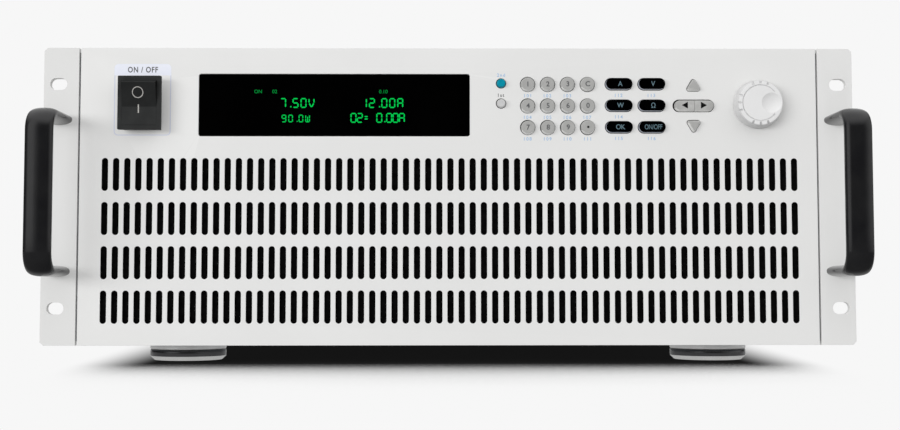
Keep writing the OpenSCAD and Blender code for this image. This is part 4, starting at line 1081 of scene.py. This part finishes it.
tools = []
for material, mesh in cutters:
    mesh.materials.append(material)
    tools.append(placed("knob_tool", mesh))
    cut = knob.modifiers.new("cut", "BOOLEAN")
    cut.operation, cut.solver, cut.object, cut.material_mode = "DIFFERENCE", "EXACT", tools[-1], "TRANSFER"
bpy.context.view_layer.update()
carved = bpy.data.meshes.new_from_object(knob.evaluated_get(bpy.context.evaluated_depsgraph_get()))
knob.modifiers.clear()
knob.data = carved
carved.shade_smooth()
carved.set_sharp_from_angle(angle=radians(KNOB_CREASE))
for tool in tools:
    bpy.data.objects.remove(tool)
print("knob faces", len(carved.polygons), "after", len(cutters), "cuts")

# %% [markdown]
# ## Fans
#
# Three fans pull air through the case. Their rotors turn, so each one is a piece of its own: a cup
# over the motor with seven blades, which are twisted more at the root than at the tip. Each blade is
# a thin wing section carried outwards.

# %% Fans
BLADES, STEPS, ROTOR_DEPTH = 7, 8, 29.5
# A blade at its root, and how much that changes to its tip: radius, tilt, chord and sweep
ROOT, CHANGE = (23.2, 44, 30, 0), (32.6, -16, 6, 10)


def blade_ring(centre, radius, tilt, chord, sweep):
    """One wing section of a fan blade, wrapped round the rotor's axis."""
    ring = []
    for k in range(20):
        turn = 2 * pi * k / 20
        along, thick = cos(turn) * chord / 2, sin(turn) * 0.9 * (1.15 - 0.5 * cos(turn))
        crown = 1.6 * (1 - (2 * along / chord) ** 2)
        ahead = along * cos(tilt) - (thick + crown) * sin(tilt)
        depth = along * sin(tilt) + (thick + crown) * cos(tilt)
        angle = sweep + ahead / radius
        ring.append(centre + Vector((radius * cos(angle), depth, radius * sin(angle))) * MM)
    return ring


def rotor(number):
    """A rotor in the place of its CAD node: seven blades on a cup."""
    name = f"fan_rotor_{number}"
    x, z = middle(name)
    back = corners(name)[1][1]
    front = back - ROTOR_DEPTH
    centre = on_panel(x, (front + back) / 2, z)
    parts = []
    for k in range(BLADES):
        sections = []
        for step in range(STEPS + 1):
            radius, tilt, chord, sweep = (a + b * step / STEPS for a, b in zip(ROOT, CHANGE))
            turn = radians(k * 360 / BLADES + sweep)
            sections.append(blade_ring(centre, radius, radians(tilt), chord, turn))
        parts.append(skin(sections))
    hub = [(0.0, back), (21.5, back), (23.4, back - 0.6), (24.0, back - 2.4), (24.0, front), (21.6, front),
           (21.6, back - 3.0), (2.0, back - 3.0), (2.0, front - 1.8), (0.0, front - 1.8)]
    parts.append(turned(hub, lambda u, v, y: on_panel(x + u, y, z + v), steps=72))
    return piece(name + "_turbine", joined(parts), f"fan_{number}", "fan_black", fan_plastic,
                 stands_for=[name], crease=40)


for number in (1, 2, 3):
    rotor(number)
print("rotors", number, "blades", number * BLADES)

# %% [markdown]
# ## Nodes that keep their own shape
#
# Screws, boards, heat sinks, bars and connector shells are right as the CAD made them. They only
# need their finish, in the first material slot of each node.

# %% Nodes that keep their own shape
for material, names in (
        (bright_steel, "handle_screws case_screws encoder_shaft"), (pad_rubber, "foot_pads"),
        (filter_foam, "dust_filter"), (silicone, "keypad_mat"), (satin_metal, "encoder"),
        (board_mask, "display_module keypad_board power_boards control_board supply_board"),
        (sink_metal, "heat_sinks"), (fan_plastic, "fan_frames"), (copper, "positive_bar negative_bar"),
        (port_metal, "signal_ports"), (brass, "ground_stud")):
    for name in names.split():
        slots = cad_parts[name].data.materials
        slots.clear()
        slots.append(material)
# The lowest of the signal connectors, for the sense wires, is a row of green screw clamps
CLAMPS_TOP = 75
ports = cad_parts["signal_ports"].data
ports.materials.append(plug_green)
for face in ports.polygons:
    face.material_index = int(face.center.z < on_panel(0, 0, CLAMPS_TOP).z)
shown = [n for n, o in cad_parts.items() if not o.hide_render]
print("CAD nodes still shown:", len(shown))
